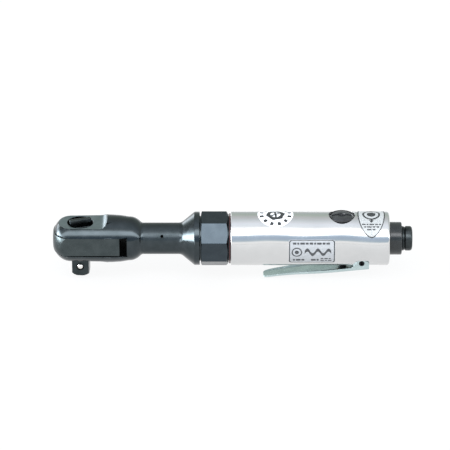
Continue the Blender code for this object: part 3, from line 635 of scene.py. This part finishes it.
def build_drive():
    low, high = edges("anvil")
    half = DRIVE_SIZE / 2
    square = rounded(rectangle((-half, -half), (half, half)), 1.5, 5)
    square = turned(square, REST_TURN)
    journal = [(-12.4, 0.0), (-12.4, high.y - 0.5), (-11.9, high.y), (high.z, high.y), (high.z, 0.0)]
    drive = make_object("drive_anvil", spun(journal, "Z"))
    combine(drive, extruded([square], "Z", low.z, -10.0), "UNION")
    taper = [(low.z - 2.0, 5.2), (low.z - 2.0, 14.0), (low.z + 3.6, 14.0), (low.z + 3.6, 9.3),
             (low.z + 2.2, 8.55), (low.z + 1.0, 7.75), (low.z + 0.2, 6.9), (low.z, 6.5)]
    combine(drive, spun(taper, "Z"))
    combine(drive, extruded([rectangle((2.4, -9.0), (12.0, 9.0))], "Z", -5.3, 5.3))
    combine(drive, extruded([circle((0, 0), 3.3, 48)], "Z", -5.6, 9.0))
    combine(drive, extruded([circle((5.9, 0), 1.5, 32)], "Z", -9.0, 9.0))
    ball_centre = centre_of("socket_ball")
    hole = extruded([circle((0, ball_centre.z), 2.78, 48)], "Y", -9.0, -0.5)
    combine(drive, rotated(hole, REST_TURN, "Z"))
    soften(drive, 0.28, 3)
    dress(drive, DRIVE_STEEL, "anvil_body", "anvil")
    collar = [(-0.18, 2.84), (0.10, 2.84), (0.10, 3.25), (-0.02, 3.42), (-0.18, 3.42)]
    ring = spun([(a - half, r) for a, r in collar], "X", (0, 0, 0), 48)
    rotated(ring, math.radians(90.0), "Z")
    bmesh.ops.translate(ring, verts=ring.verts, vec=(0, 0, ball_centre.z))
    rotated(ring, REST_TURN, "Z")
    stake = make_object("ball_staking", ring)
    dress(stake, DRIVE_STEEL, "anvil_body", None)
    ball_radius = edges("socket_ball")[1].x - ball_centre.x
    ball = bmesh.new()
    bmesh.ops.create_icosphere(ball, subdivisions=4, radius=ball_radius,
                               matrix=Matrix.Translation(ball_centre))
    dress(make_object("detent_ball", ball), BRIGHT_STEEL, "ball_body", "socket_ball")


def build_knob():
    low, high = edges("reverse_knob")
    base = 9.9
    stem = 3.0
    profile = [(10.2, 0.0), (10.2, 7.9), (10.45, 8.5), (10.6, 8.9), (10.45, 9.2), (base, 9.2),
               (base, stem), (low.z, stem), (low.z, 0.0)]
    knob = make_object("direction_knob", spun(profile, "Z"))
    ridge = extruded([rounded(rectangle((-8.55, -2.45), (8.55, 2.45)), 1.9, 8)], "Z", 10.0, high.z)
    for vertex in ridge.verts:
        if vertex.co.z > base + 2:
            vertex.co.x *= 0.965
            vertex.co.y *= 0.62
    combine(knob, rotated(ridge, KNOB_TURN, "Z"), "UNION")
    combine(knob, rotated(extruded([circle((0, 0), 1.3, 24)], "X", -1.6, 5.0), math.radians(15.0), "Z"))
    soften(knob, 0.35, 3)
    dress(knob, KNOB_STEEL, "knob_body", "reverse_knob")


# The nut, its gasket and the housing.

SPIGOT_BORE = 17.05
NUT_FLAT = 19.0
PIN_HOLE_RADIUS = 2.05


def build_nut():
    low, high = edges("clamp_nut")
    flat = NUT_FLAT
    corner = flat / math.cos(math.pi / 8)
    outline = circle((0, 0), corner, 8, 38.5 + 22.5)
    outline = rounded([(-u, v) for u, v in outline], 0.5, 4)
    nut = make_object("octagon_nut", extruded([outline], "X", low.x, high.x))
    combine(nut, extruded([circle((0, 0), SPIGOT_BORE, 96)], "X", low.x - 2, high.x + 2))
    for end, inward, reach, drop in ((high.x, -1.0, 2.1, 1.15), (low.x, 1.0, 0.8, 0.45)):
        cone = [(end + inward * reach, corner + 0.5), (end - inward, corner + 0.5),
                (end - inward, flat - drop - 0.5), (end, flat - drop)]
        combine(nut, spun(cone, "X"))
    soften(nut, 0.16, 2, math.radians(24.0))
    dress(nut, NUT_STEEL, "housing_body", "clamp_nut")


def build_gasket():
    low, high = edges("housing_gasket")
    outer = high.y
    profile = [(low.x, SPIGOT_BORE), (low.x, outer - 0.15), (low.x + 0.15, outer),
               (high.x - 0.15, outer), (high.x, outer - 0.15), (high.x, SPIGOT_BORE)]
    gasket = make_object("red_gasket", spun(profile, "X"))
    dress(gasket, GASKET_RED, "housing_body", "housing_gasket")


def lever_pin_place():
    """The lever pin's axis as (x, z)."""
    pin = centre_of("lever_pin")
    return pin.x, pin.z


def relief_outline():
    """The milled relief beside the lever's lug, seen from the side: a ramp, a flat top and a scallop."""
    top = -9.9
    floor = -24.0
    scallop = arc((213.0, top - 8.6), 8.6, 90.0, 8.0, 24)
    ramp = [(193.0, floor), (197.0, -17.5), (204.6, -10.8), (206.6, top)]
    return ramp + scallop + [(223.0, floor)]


def build_housing():
    low, high = edges("motor_housing")
    motor_bore = edges("cylinder")[1].y + 0.3
    motor_start = edges("front_end_plate")[0].x - 0.3
    motor_end = edges("rear_end_plate")[1].x + 0.4
    seat_x = edges("valve_seat")[0].x - 0.3
    profile = [(low.x, BODY_RADIUS - 0.5)]
    profile += arc((low.x + 0.5, BODY_RADIUS - 0.5), 0.5, 180.0, 90.0, 5)[1:]
    profile += [(low.x + 30.0, BODY_RADIUS), (low.x + 60.0, BODY_RADIUS), (low.x + 90.0, BODY_RADIUS)]
    profile += arc((high.x - 2.0, BODY_RADIUS - 2.0), 2.0, 90.0, 0.0, 12)
    profile += [(high.x, 9.0), (seat_x, 9.0), (seat_x, 5.0), (187.0, 5.0), (187.0, 3.5), (motor_end, 3.5),
                (motor_end, motor_bore), (motor_start, motor_bore), (motor_start, SPIGOT_BORE),
                (low.x, SPIGOT_BORE)]
    housing = make_object("housing_shell", spun(profile, "X", segments=192))
    pocket = [(24.0, 0.0), (24.0, 9.75), (14.2, 9.75), (14.2, 7.3), (7.5, 7.3), (7.5, 5.9), (2.0, 5.9),
              (2.0, 0.0)]
    combine(housing, spun(pocket, "Z", (centre_of("regulator_dial").x, 0, 0), 96))
    hole = [(-24.0, 5.3), (-24.0, 0.0), (0.0, 0.0), (0.0, 3.55), (-7.5, 3.55), (-7.5, 5.3)]
    combine(housing, spun(hole, "Z", (centre_of("throttle_plunger").x, 0, 0), 64))
    for start, end in ((6.8, 26.0), (-26.0, -6.8)):
        combine(housing, extruded([relief_outline()], "Y", start, end))
    combine(housing, extruded([circle(lever_pin_place(), PIN_HOLE_RADIUS, 40)], "Y", -10, 10))
    for degrees in (18.0, -18.0, 162.0, 198.0):
        angle = math.radians(degrees)
        centre = (10.9 * math.cos(angle), 10.9 * math.sin(angle))
        combine(housing, extruded([circle(centre, 1.2, 24)], "X", motor_end - 2, high.x + 2))
    soften(housing, 0.25, 3)
    dress(housing, ALUMINIUM, "housing_body", "motor_housing")


# Labels: thin skins wrapped round the body, with plain marks.

CROWN = 90.0
LABEL_LIFT = 0.02
MARK_LIFT = 0.05
BAR_LENGTHS = (2.6, 1.5, 3.4, 2.1)
BAR_GAP = 0.7


def wrapped(outlines, middle_x, middle_angle, lift, thickness=0.06):
    """Outlines in (along, around) millimetres wrapped on the body, the later ones holes in the first.

    They are cut at every millimetre around, so that they bend with the body.
    """
    work = extruded(outlines, "Z", 0.0, thickness)
    heights = [vertex.co.y for vertex in work.verts]
    for line in range(math.ceil(min(heights)), math.floor(max(heights)) + 1):
        bmesh.ops.bisect_plane(work, geom=work.verts[:] + work.edges[:] + work.faces[:], dist=0.0001,
                               plane_co=(0, line, 0), plane_no=(0, 1, 0))
    bmesh.ops.triangulate(work, faces=work.faces)
    for vertex in work.verts:
        along, around, height = vertex.co
        angle = math.radians(middle_angle) + around / BODY_RADIUS
        radius = BODY_RADIUS + lift + height
        vertex.co = (middle_x + along, -radius * math.cos(angle), radius * math.sin(angle))
    return work


def label(name, outlines, middle_x, middle_angle, lift, material):
    skin = make_object(name, wrapped(outlines, middle_x, middle_angle, lift))
    dress(skin, material, "housing_body", None)


def band(outline, width):
    """An outline and the same outline drawn in by a width, as a ring."""
    count = len(outline)
    centre = Vector((sum(u for u, v in outline) / count, sum(v for u, v in outline) / count))
    inner = []
    for corner in outline:
        arm = Vector(corner) - centre
        inner.append(tuple(centre + arm * (1 - width / arm.length)))
    return [outline, inner]


def marks(name, rows, middle_x, middle_angle, material):
    """Rows of short bars standing in for small print: (left end, right end, height, bar height)."""
    for row, (left, right, height, size) in enumerate(rows):
        place = left
        index = 0
        while place < right - 0.5:
            length = min(BAR_LENGTHS[(index + row) % len(BAR_LENGTHS)], right - place)
            bar = rectangle((place, height - size / 2), (place + length, height + size / 2))
            label(f"{name}_{row + 1}_{index + 1}", [rounded(bar, 0.3, 2)], middle_x, middle_angle,
                  MARK_LIFT, material)
            place += length + BAR_GAP
            index += 1


def build_round_sticker():
    middle = edges("motor_housing")[0].x + 33.0
    label("round_sticker", [circle((0, 0), 13.25, 96)], middle, CROWN, LABEL_LIFT, LABEL_WHITE)
    hexagon = rounded(circle((0, 0), 7.4, 6, 12.0), 1.0, 4)
    label("sticker_hexagon", [hexagon, circle((0, 0), 3.7, 40)], middle, CROWN, MARK_LIFT, INK)
    for side, degrees in (("near", 32.0), ("far", 96.0)):
        spoke = rounded(rectangle((-3.9, -0.75), (3.9, 0.75)), 0.4, 3)
        spoke = turned(spoke, math.radians(degrees))
        label(f"sticker_spoke_{side}", [spoke], middle, CROWN, MARK_LIFT, INK)
    dash_count = 12
    for index in range(dash_count):
        dash = rounded(rectangle((9.1, -1.25), (12.1, 1.25)), 0.6, 3)
        dash = turned(dash, math.radians((index + 0.5) * 360.0 / dash_count))
        label(f"sticker_dash_{index + 1}", [dash], middle, CROWN, MARK_LIFT, INK)


def build_name_plate():
    middle = edges("motor_housing")[0].x + 59.9
    half_length, half_height = 17.2, 10.5
    angle = -5.0
    outline = rounded(rectangle((-half_length, -half_height), (half_length, half_height)), 2.2, 8)
    label("name_plate", [outline], middle, angle, LABEL_LIFT, PLATE_SILVER)
    border = rectangle((-half_length + 0.3, -half_height + 0.3), (half_length - 0.3, half_height - 0.3))
    label("plate_border", band(rounded(border, 2.2, 8), 0.75), middle, angle, MARK_LIFT, INK)
    marks("plate_print", [(-14.2, 14.2, 7.6, 1.5), (-14.0, -5.0, -6.8, 2.0), (-0.6, 5.0, -6.8, 2.0),
                          (6.4, 14.0, -5.4, 1.1), (6.4, 14.6, -7.5, 1.1)], middle, angle, PLATE_INK)
    label("plate_roundel", band(circle((-11.2, 0.6), 3.9, 48), 0.9), middle, angle, MARK_LIFT, PLATE_INK)
    label("plate_roundel_dot", [circle((-11.2, 0.6), 1.5, 32)], middle, angle, MARK_LIFT, PLATE_INK)
    steps = 40
    wave = []
    for step in range(steps + 1):
        share = step / steps
        wave.append((-5.4 + 19.6 * share, 1.9 + 2.0 * math.sin(share * 5 * math.pi)))
    wave += [(u, v - 2.6) for u, v in reversed(wave)]
    label("plate_wave", [wave], middle, angle, MARK_LIFT, PLATE_INK)


def build_flow_label():
    middle = edges("motor_housing")[1].x - 13.7
    half_length, half_height = 10.2, 21.5
    outline = []
    count = 96
    for index in range(count):
        angle = 2 * math.pi * index / count
        narrow = math.copysign(abs(math.cos(angle)) ** 1.15, math.cos(angle))
        outline.append((half_length * narrow, half_height * math.sin(angle)))
    label("flow_label", [outline], middle, CROWN, LABEL_LIFT, PLATE_CLEAR)
    label("flow_label_border", band(outline, 0.85), middle, CROWN, MARK_LIFT, INK)
    label("flow_dial_ring", band(circle((0, 0), 6.6, 64), 1.3), middle, CROWN, MARK_LIFT, INK)
    label("flow_dial_centre", [circle((0, 0), 3.2, 40)], middle, CROWN, MARK_LIFT, INK)
    for side, name in ((1, "far"), (-1, "near")):
        arrow = [(-0.6, side * 6.4), (0.6, side * 6.4), (0.6, side * 7.2), (1.9, side * 7.2),
                 (0.0, side * 9.4), (-1.9, side * 7.2), (-0.6, side * 7.2)]
        label(f"flow_arrow_{name}", [arrow], middle, CROWN, MARK_LIFT, INK)
        marks(f"flow_print_{name}", [(-7.0, 7.0, side * 10.9, 1.1), (-5.6, 5.6, side * 13.0, 1.1),
                                     (-3.4, 3.4, side * 15.1, 1.1)], middle, CROWN, PLATE_INK)


# The controls.

def build_regulator():
    low, high = edges("regulator_dial")
    x = centre_of("regulator_dial").x
    top = high.z
    profile = [(top - 1.25, 0.0), (top - 1.25, 2.6), (top - 0.15, 2.95), (top - 0.12, 4.2),
               (top - 0.5, 6.6), (top - 1.1, 8.1), (top - 1.6, 8.6), (14.6, 8.6), (14.6, 5.5), (9.1, 5.5),
               (9.1, 4.9), (7.9, 4.9), (7.9, 5.5), (low.z, 5.5), (low.z, 0.0)]
    dial = make_object("regulator_knob", spun(profile, "Z", (x, 0, 0), 96))
    slot = rounded(rectangle((x - 7.4, -0.95), (x + 7.4, 0.95)), 0.7, 4)
    combine(dial, extruded([slot], "Z", top - 1.9, 24.0))
    soften(dial, 0.14, 2)
    dress(dial, DIAL_BLACK, "regulator_body", "regulator_dial")
    seal_z = centre_of("regulator_seal").z + 0.45
    profile = [(seal_z + 0.45 * u, 9.1 + 0.3025 * v) for u, v in circle((0, 0), 1.0, 12)]
    ring = make_object("regulator_ring", spun(profile, "Z", (x, 0, 0), 96))
    dress(ring, RUBBER, "housing_body", "regulator_seal")


LEVER_REAR_X, LEVER_REAR_Z = 214.6, -20.6
LEVER_SLOPE = math.radians(6.0)
LEVER_WALL = 1.5
LEVER_BEND_X = 160.0
LEVER_BEND = 0.00186
# Along the lever: x, half width and the rim's height above the web.
LEVER_PLAN = [(136.0, 2.9, 0.10), (136.25, 3.5, 0.12), (136.7, 4.0, 0.15), (137.3, 4.4, 0.18),
              (138.2, 4.75, 0.22), (139.5, 5.0, 0.28), (142.0, 5.3, 0.40), (146.0, 5.55, 0.50),
              (151.0, 5.8, 0.60), (160.0, 6.5, 0.75), (174.0, 7.9, 1.0), (182.0, 8.5, 1.1),
              (188.0, 8.7, 1.2), (201.0, 8.7, 1.4)]


def lever_floor(x):
    """Height of the lever's upper web face: straight at the rear, bending down towards the tip."""
    bend = LEVER_BEND * max(0.0, LEVER_BEND_X - x) ** 2
    return LEVER_REAR_Z - (LEVER_REAR_X - x) * math.tan(LEVER_SLOPE) - bend


def smooth_plan(steps):
    """LEVER_PLAN with smooth extra rows between its own."""
    rows = []
    for index in range(len(LEVER_PLAN) - 1):
        start, end = Vector(LEVER_PLAN[index]), Vector(LEVER_PLAN[index + 1])
        before = Vector(LEVER_PLAN[max(0, index - 1)])
        after = Vector(LEVER_PLAN[min(len(LEVER_PLAN) - 1, index + 2)])
        span = end.x - start.x
        enter = (end - before) / (end.x - before.x) * span
        leave = (after - start) / (after.x - start.x) * span
        for step in range(steps):
            t = step / steps
            curve = start * (2 * t ** 3 - 3 * t ** 2 + 1) + enter * (t ** 3 - 2 * t ** 2 + t)
            curve += end * (3 * t ** 2 - 2 * t ** 3) + leave * (t ** 3 - t ** 2)
            rows.append((start.x + span * t, curve.y, curve.z))
    rows.append(LEVER_PLAN[-1])
    return rows


def build_lever():
    rear = edges("throttle_lever")[1].x
    pin = lever_pin_place()
    full = LEVER_PLAN[-1][1]
    rows = smooth_plan(4)
    rows.append((202.0, full, 1.75))
    ears = [(203.0, -18.9), (205.6, -16.1), (206.5, -15.2)]
    ears += list(reversed(arc(pin, 3.0, 55.0, 130.0, 10)))[1:]
    ears += [(rear - 1.6, -15.1), (rear - 0.8, -15.9), (rear - 0.3, -16.5), (rear, -17.2)]
    rows += [(x, full, z - lever_floor(x)) for x, z in ears]
    work = bmesh.new()
    rings = []
    for x, half, rim in rows:
        floor = lever_floor(x)
        wall = min(LEVER_WALL, half * 0.4)
        corner = min(1.5, half * 0.4)
        section = [(-half, floor + rim)]
        section += arc((-half + corner, floor - LEVER_WALL + corner), corner, 180.0, 270.0, 6)
        section += arc((half - corner, floor - LEVER_WALL + corner), corner, 270.0, 360.0, 6)
        section += [(half, floor + rim), (half - wall * 0.5, floor + rim + 0.1),
                    (half - wall, floor + rim)]
        inner = min(0.7, rim * 0.8)
        section += arc((half - wall - inner, floor + inner), inner, 0.0, -90.0, 5)
        section += arc((-half + wall + inner, floor + inner), inner, 270.0, 180.0, 5)
        section += [(-half + wall, floor + rim), (-half + wall * 0.5, floor + rim + 0.1)]
        rings.append([work.verts.new((x, y, z)) for y, z in section])
    for first, second in zip(rings, rings[1:]):
        for index in range(len(first)):
            other = (index + 1) % len(first)
            work.faces.new((first[index], first[other], second[other], second[index]))
    work.faces.new(rings[0])
    work.faces.new(rings[-1])
    lever = make_object("throttle_paddle", work)
    combine(lever, extruded([circle(pin, PIN_HOLE_RADIUS, 40)], "Y", -12, 12))
    soften(lever, 0.12, 2, math.radians(50.0))
    dress(lever, LEVER_STEEL, "lever_body", "throttle_lever")


def build_lever_pin():
    """A rolled spring pin, split along its length."""
    low, high = edges("lever_pin")
    pin = lever_pin_place()
    split = 12.0
    outer = arc(pin, 1.75, 90.0 + split, 450.0 - split, 40)
    inner = arc(pin, 0.95, 450.0 - split, 90.0 + split, 40)
    roll = make_object("rolled_pin", extruded([outer + inner], "Y", low.y, high.y))
    soften(roll, 0.12, 2)
    dress(roll, PIN_STEEL, "housing_body", "lever_pin")


def build_plunger():
    low, high = edges("throttle_plunger")
    x = centre_of("throttle_plunger").x
    radius = high.y
    profile = [(high.z, 0.0), (high.z, 1.0), (high.z - 0.3, 1.25), (high.z - 1.3, 1.8), (-11.0, 1.8),
               (-11.0, radius - 0.2), (-11.2, radius), (low.z + 0.9, radius),
               (low.z + 0.45, radius - 0.35), (low.z + 0.1, 2.1), (low.z, 1.4), (low.z, 0.0)]
    plunger = make_object("plunger_rod", spun(list(reversed(profile)), "Z", (x, 0, 0), 64))
    dress(plunger, PLUNGER_BLACK, "plunger_body", "throttle_plunger")


# The exhaust deflector and the air inlet.

def build_deflector():
    low, high = edges("exhaust_deflector")
    radius = high.y
    shell = [(low.x, radius - 0.25), (low.x + 0.25, radius)]
    shell += arc((high.x - 0.9, radius - 0.9), 0.9, 90.0, 0.0, 8)
    shell += [(high.x, 9.35), (high.x - 0.35, 8.6), (high.x - 1.6, 8.6), (high.x - 1.6, 11.0),
              (low.x, 11.0)]
    deflector = make_object("deflector_ring", spun(shell, "X"))
    window = rounded(rectangle((low.x + 1.9, -3.5), (low.x + 5.9, 3.5)), 1.2, 5)
    combine(deflector, extruded([window], "Y", 6.0, 16.0))
    soften(deflector, 0.16, 2)
    dress(deflector, POLYMER, "deflector_body", "exhaust_deflector")


def build_inlet():
    low, high = edges("inlet_bushing")
    radius = high.y
    port = 5.6
    shoulder = edges("exhaust_deflector")[1].x + 0.3
    profile = [(low.x, 8.7), (229.7, 8.7), (229.7, 8.3), (shoulder, 8.3), (shoulder, radius - 0.3),
               (shoulder + 0.25, radius - 0.08), (240.0, radius - 0.08), (240.3, 8.62), (240.7, 8.45),
               (241.1, 8.62), (241.5, radius - 0.02), (242.2, radius), (high.x - 2.0, radius)]
    profile += arc((high.x - 2.0, radius - 1.9), 1.9, 80.0, 12.0, 8)
    profile += [(high.x, radius - 2.0), (high.x, port + 0.55), (high.x - 0.55, port)]
    turns = 7
    pitch = 1.34
    start = high.x - 1.6
    for turn in range(turns):
        place = start - turn * pitch
        profile += [(place, port), (place - pitch * 0.4, port + 0.42), (place - pitch * 0.6, port + 0.42)]
    screen = edges("inlet_screen")[0].x - 0.3
    profile += [(start - turns * pitch, port), (screen, port), (screen, 4.2), (low.x, 4.2)]
    bushing = make_object("inlet_fitting", spun(profile, "X"))
    dress(bushing, INLET_STEEL, "housing_body", "inlet_bushing")


# The floor, the light and the camera.

def build_floor():
    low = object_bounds()[0]
    work = bmesh.new()
    bmesh.ops.create_circle(work, cap_ends=True, segments=96, radius=9.0)
    mesh = bpy.data.meshes.new("floor")
    work.to_mesh(mesh)
    work.free()
    floor = bpy.data.objects.new("floor", mesh)
    floor.location = (0.0, 0.0, low.z - 0.0002)
    bpy.context.scene.collection.objects.link(floor)
    shader = Shader("floor_white", 0.0, 0.8, (0.06, 0.06, 0.06))
    pales = [(0.3, (0.057, 0.058, 0.06)), (0.7, (0.06, 0.06, 0.06))]
    shader.colour_from(shader.ramp(shader.noise(400.0, 2.0), pales))
    shader.principled.inputs["Emission Color"].default_value = (1.0, 1.0, 1.0, 1.0)
    shader.principled.inputs["Emission Strength"].default_value = 0.87
    mesh.materials.append(shader.material)


# The studio round the tool's length, from the front horizon over the top to the back one:
# degrees and colour.
STUDIO = [(0.0, (1.0, 1.0, 1.0)), (4.0, (1.22, 1.22, 1.22)), (10.0, (1.28, 1.28, 1.28)),
          (14.0, (0.61, 0.73, 0.82)), (25.0, (0.56, 0.67, 0.83)), (34.0, (0.60, 0.75, 0.92)),
          (39.0, (1.5, 1.6, 1.7)), (45.0, (5.3, 5.4, 5.6)), (60.0, (5.3, 5.4, 5.6)),
          (68.0, (1.50, 1.52, 1.54)), (78.0, (1.13, 1.19, 1.27)), (88.0, (1.13, 1.20, 1.30)),
          (97.0, (1.04, 1.07, 1.14)), (108.0, (0.86, 0.93, 0.97)), (119.0, (0.77, 0.79, 0.82)),
          (132.0, (0.70, 0.72, 0.72)), (148.0, (0.57, 0.65, 0.59)), (168.0, (0.58, 0.64, 0.63)),
          (180.0, (0.54, 0.58, 0.58))]
STUDIO_PEAK = 5.6
# A low card and a small bright panel beyond the tool's nose:
# colour, and the share of -X at which each starts and is full.
END_LIGHTS = [((4.4, 4.5, 4.7), -0.30, -0.52), ((17.0, 17.6, 18.2), -0.88, -0.96)]
END_LIGHT_TOP, END_LIGHT_FULL = 0.42, 0.20


def build_world():
    world = bpy.data.worlds.new("studio")
    bpy.context.scene.world = world
    world.use_nodes = True
    tree = world.node_tree
    nodes = tree.nodes
    links = tree.links
    background = nodes["Background"]
    background.inputs["Strength"].default_value = STUDIO_PEAK
    split = nodes.new("ShaderNodeSeparateXYZ")
    links.new(nodes.new("ShaderNodeTexCoord").outputs["Generated"], split.inputs["Vector"])

    def faded(value, start, full):
        node = nodes.new("ShaderNodeMapRange")
        node.interpolation_type = "SMOOTHSTEP"
        node.inputs["From Min"].default_value = start
        node.inputs["From Max"].default_value = full
        links.new(value, node.inputs["Value"])
        return node.outputs["Result"]

    front = computed(tree, "MULTIPLY", split.outputs["Y"], -1.0)
    share = computed(tree, "DIVIDE", computed(tree, "ARCTAN2", split.outputs["Z"], front), math.pi)
    ramp = nodes.new("ShaderNodeValToRGB")
    elements = ramp.color_ramp.elements
    while len(elements) < len(STUDIO):
        elements.new(0.5)
    for element, (degrees, colour) in zip(elements, STUDIO):
        element.position = degrees / 180.0
        element.color = (*[level / STUDIO_PEAK for level in colour], 1.0)
    links.new(share, ramp.inputs["Fac"])
    colour = ramp.outputs["Color"]
    low = faded(split.outputs["Z"], END_LIGHT_TOP, END_LIGHT_FULL)
    for light, start, full in END_LIGHTS:
        both = nodes.new("ShaderNodeMix")
        both.data_type = "RGBA"
        both.blend_type = "ADD"
        both.clamp_result = False
        both.inputs["B"].default_value = (*[level / STUDIO_PEAK for level in light], 1.0)
        toward_nose = faded(split.outputs["X"], start, full)
        links.new(computed(tree, "MULTIPLY", toward_nose, low), both.inputs["Factor"])
        links.new(colour, both.inputs["A"])
        colour = both.outputs["Result"]
    links.new(colour, background.inputs["Color"])


VIEW_ELEVATION = math.radians(28.0)
VIEW_DISTANCE = 2.7
VIEW_WIDTH = 0.3347
VIEW_RIGHT = -0.0056
VIEW_UP = 0.00985


def build_camera():
    middle_x = (cad_low.x + cad_high.x) / 2 + VIEW_RIGHT
    aim = Vector((middle_x, 0.0, AXIS_HEIGHT * MM))
    back = Vector((0.0, -math.cos(VIEW_ELEVATION), math.sin(VIEW_ELEVATION)))
    up = Vector((0.0, math.sin(VIEW_ELEVATION), math.cos(VIEW_ELEVATION)))
    aim += up * VIEW_UP
    data = bpy.data.cameras.new("camera")
    data.sensor_width = 36.0
    data.lens = data.sensor_width * VIEW_DISTANCE / VIEW_WIDTH
    data.clip_start = 0.01
    data.clip_end = 50.0
    camera = bpy.data.objects.new("camera", data)
    camera.location = aim + back * VIEW_DISTANCE
    camera.rotation_mode = "QUATERNION"
    camera.rotation_quaternion = (-back).to_track_quat("-Z", "Y")
    bpy.context.scene.collection.objects.link(camera)
    bpy.context.scene.camera = camera


paint_head_shade_and_highlights()
finish_cad_nodes()
build_head()
build_yoke()
build_drive()
build_knob()
build_nut()
build_gasket()
build_housing()
build_round_sticker()
build_name_plate()
build_flow_label()
build_regulator()
build_lever()
build_lever_pin()
build_plunger()
build_deflector()
build_inlet()
build_floor()
build_world()
build_camera()
bpy.context.scene.view_settings.view_transform = "Standard"
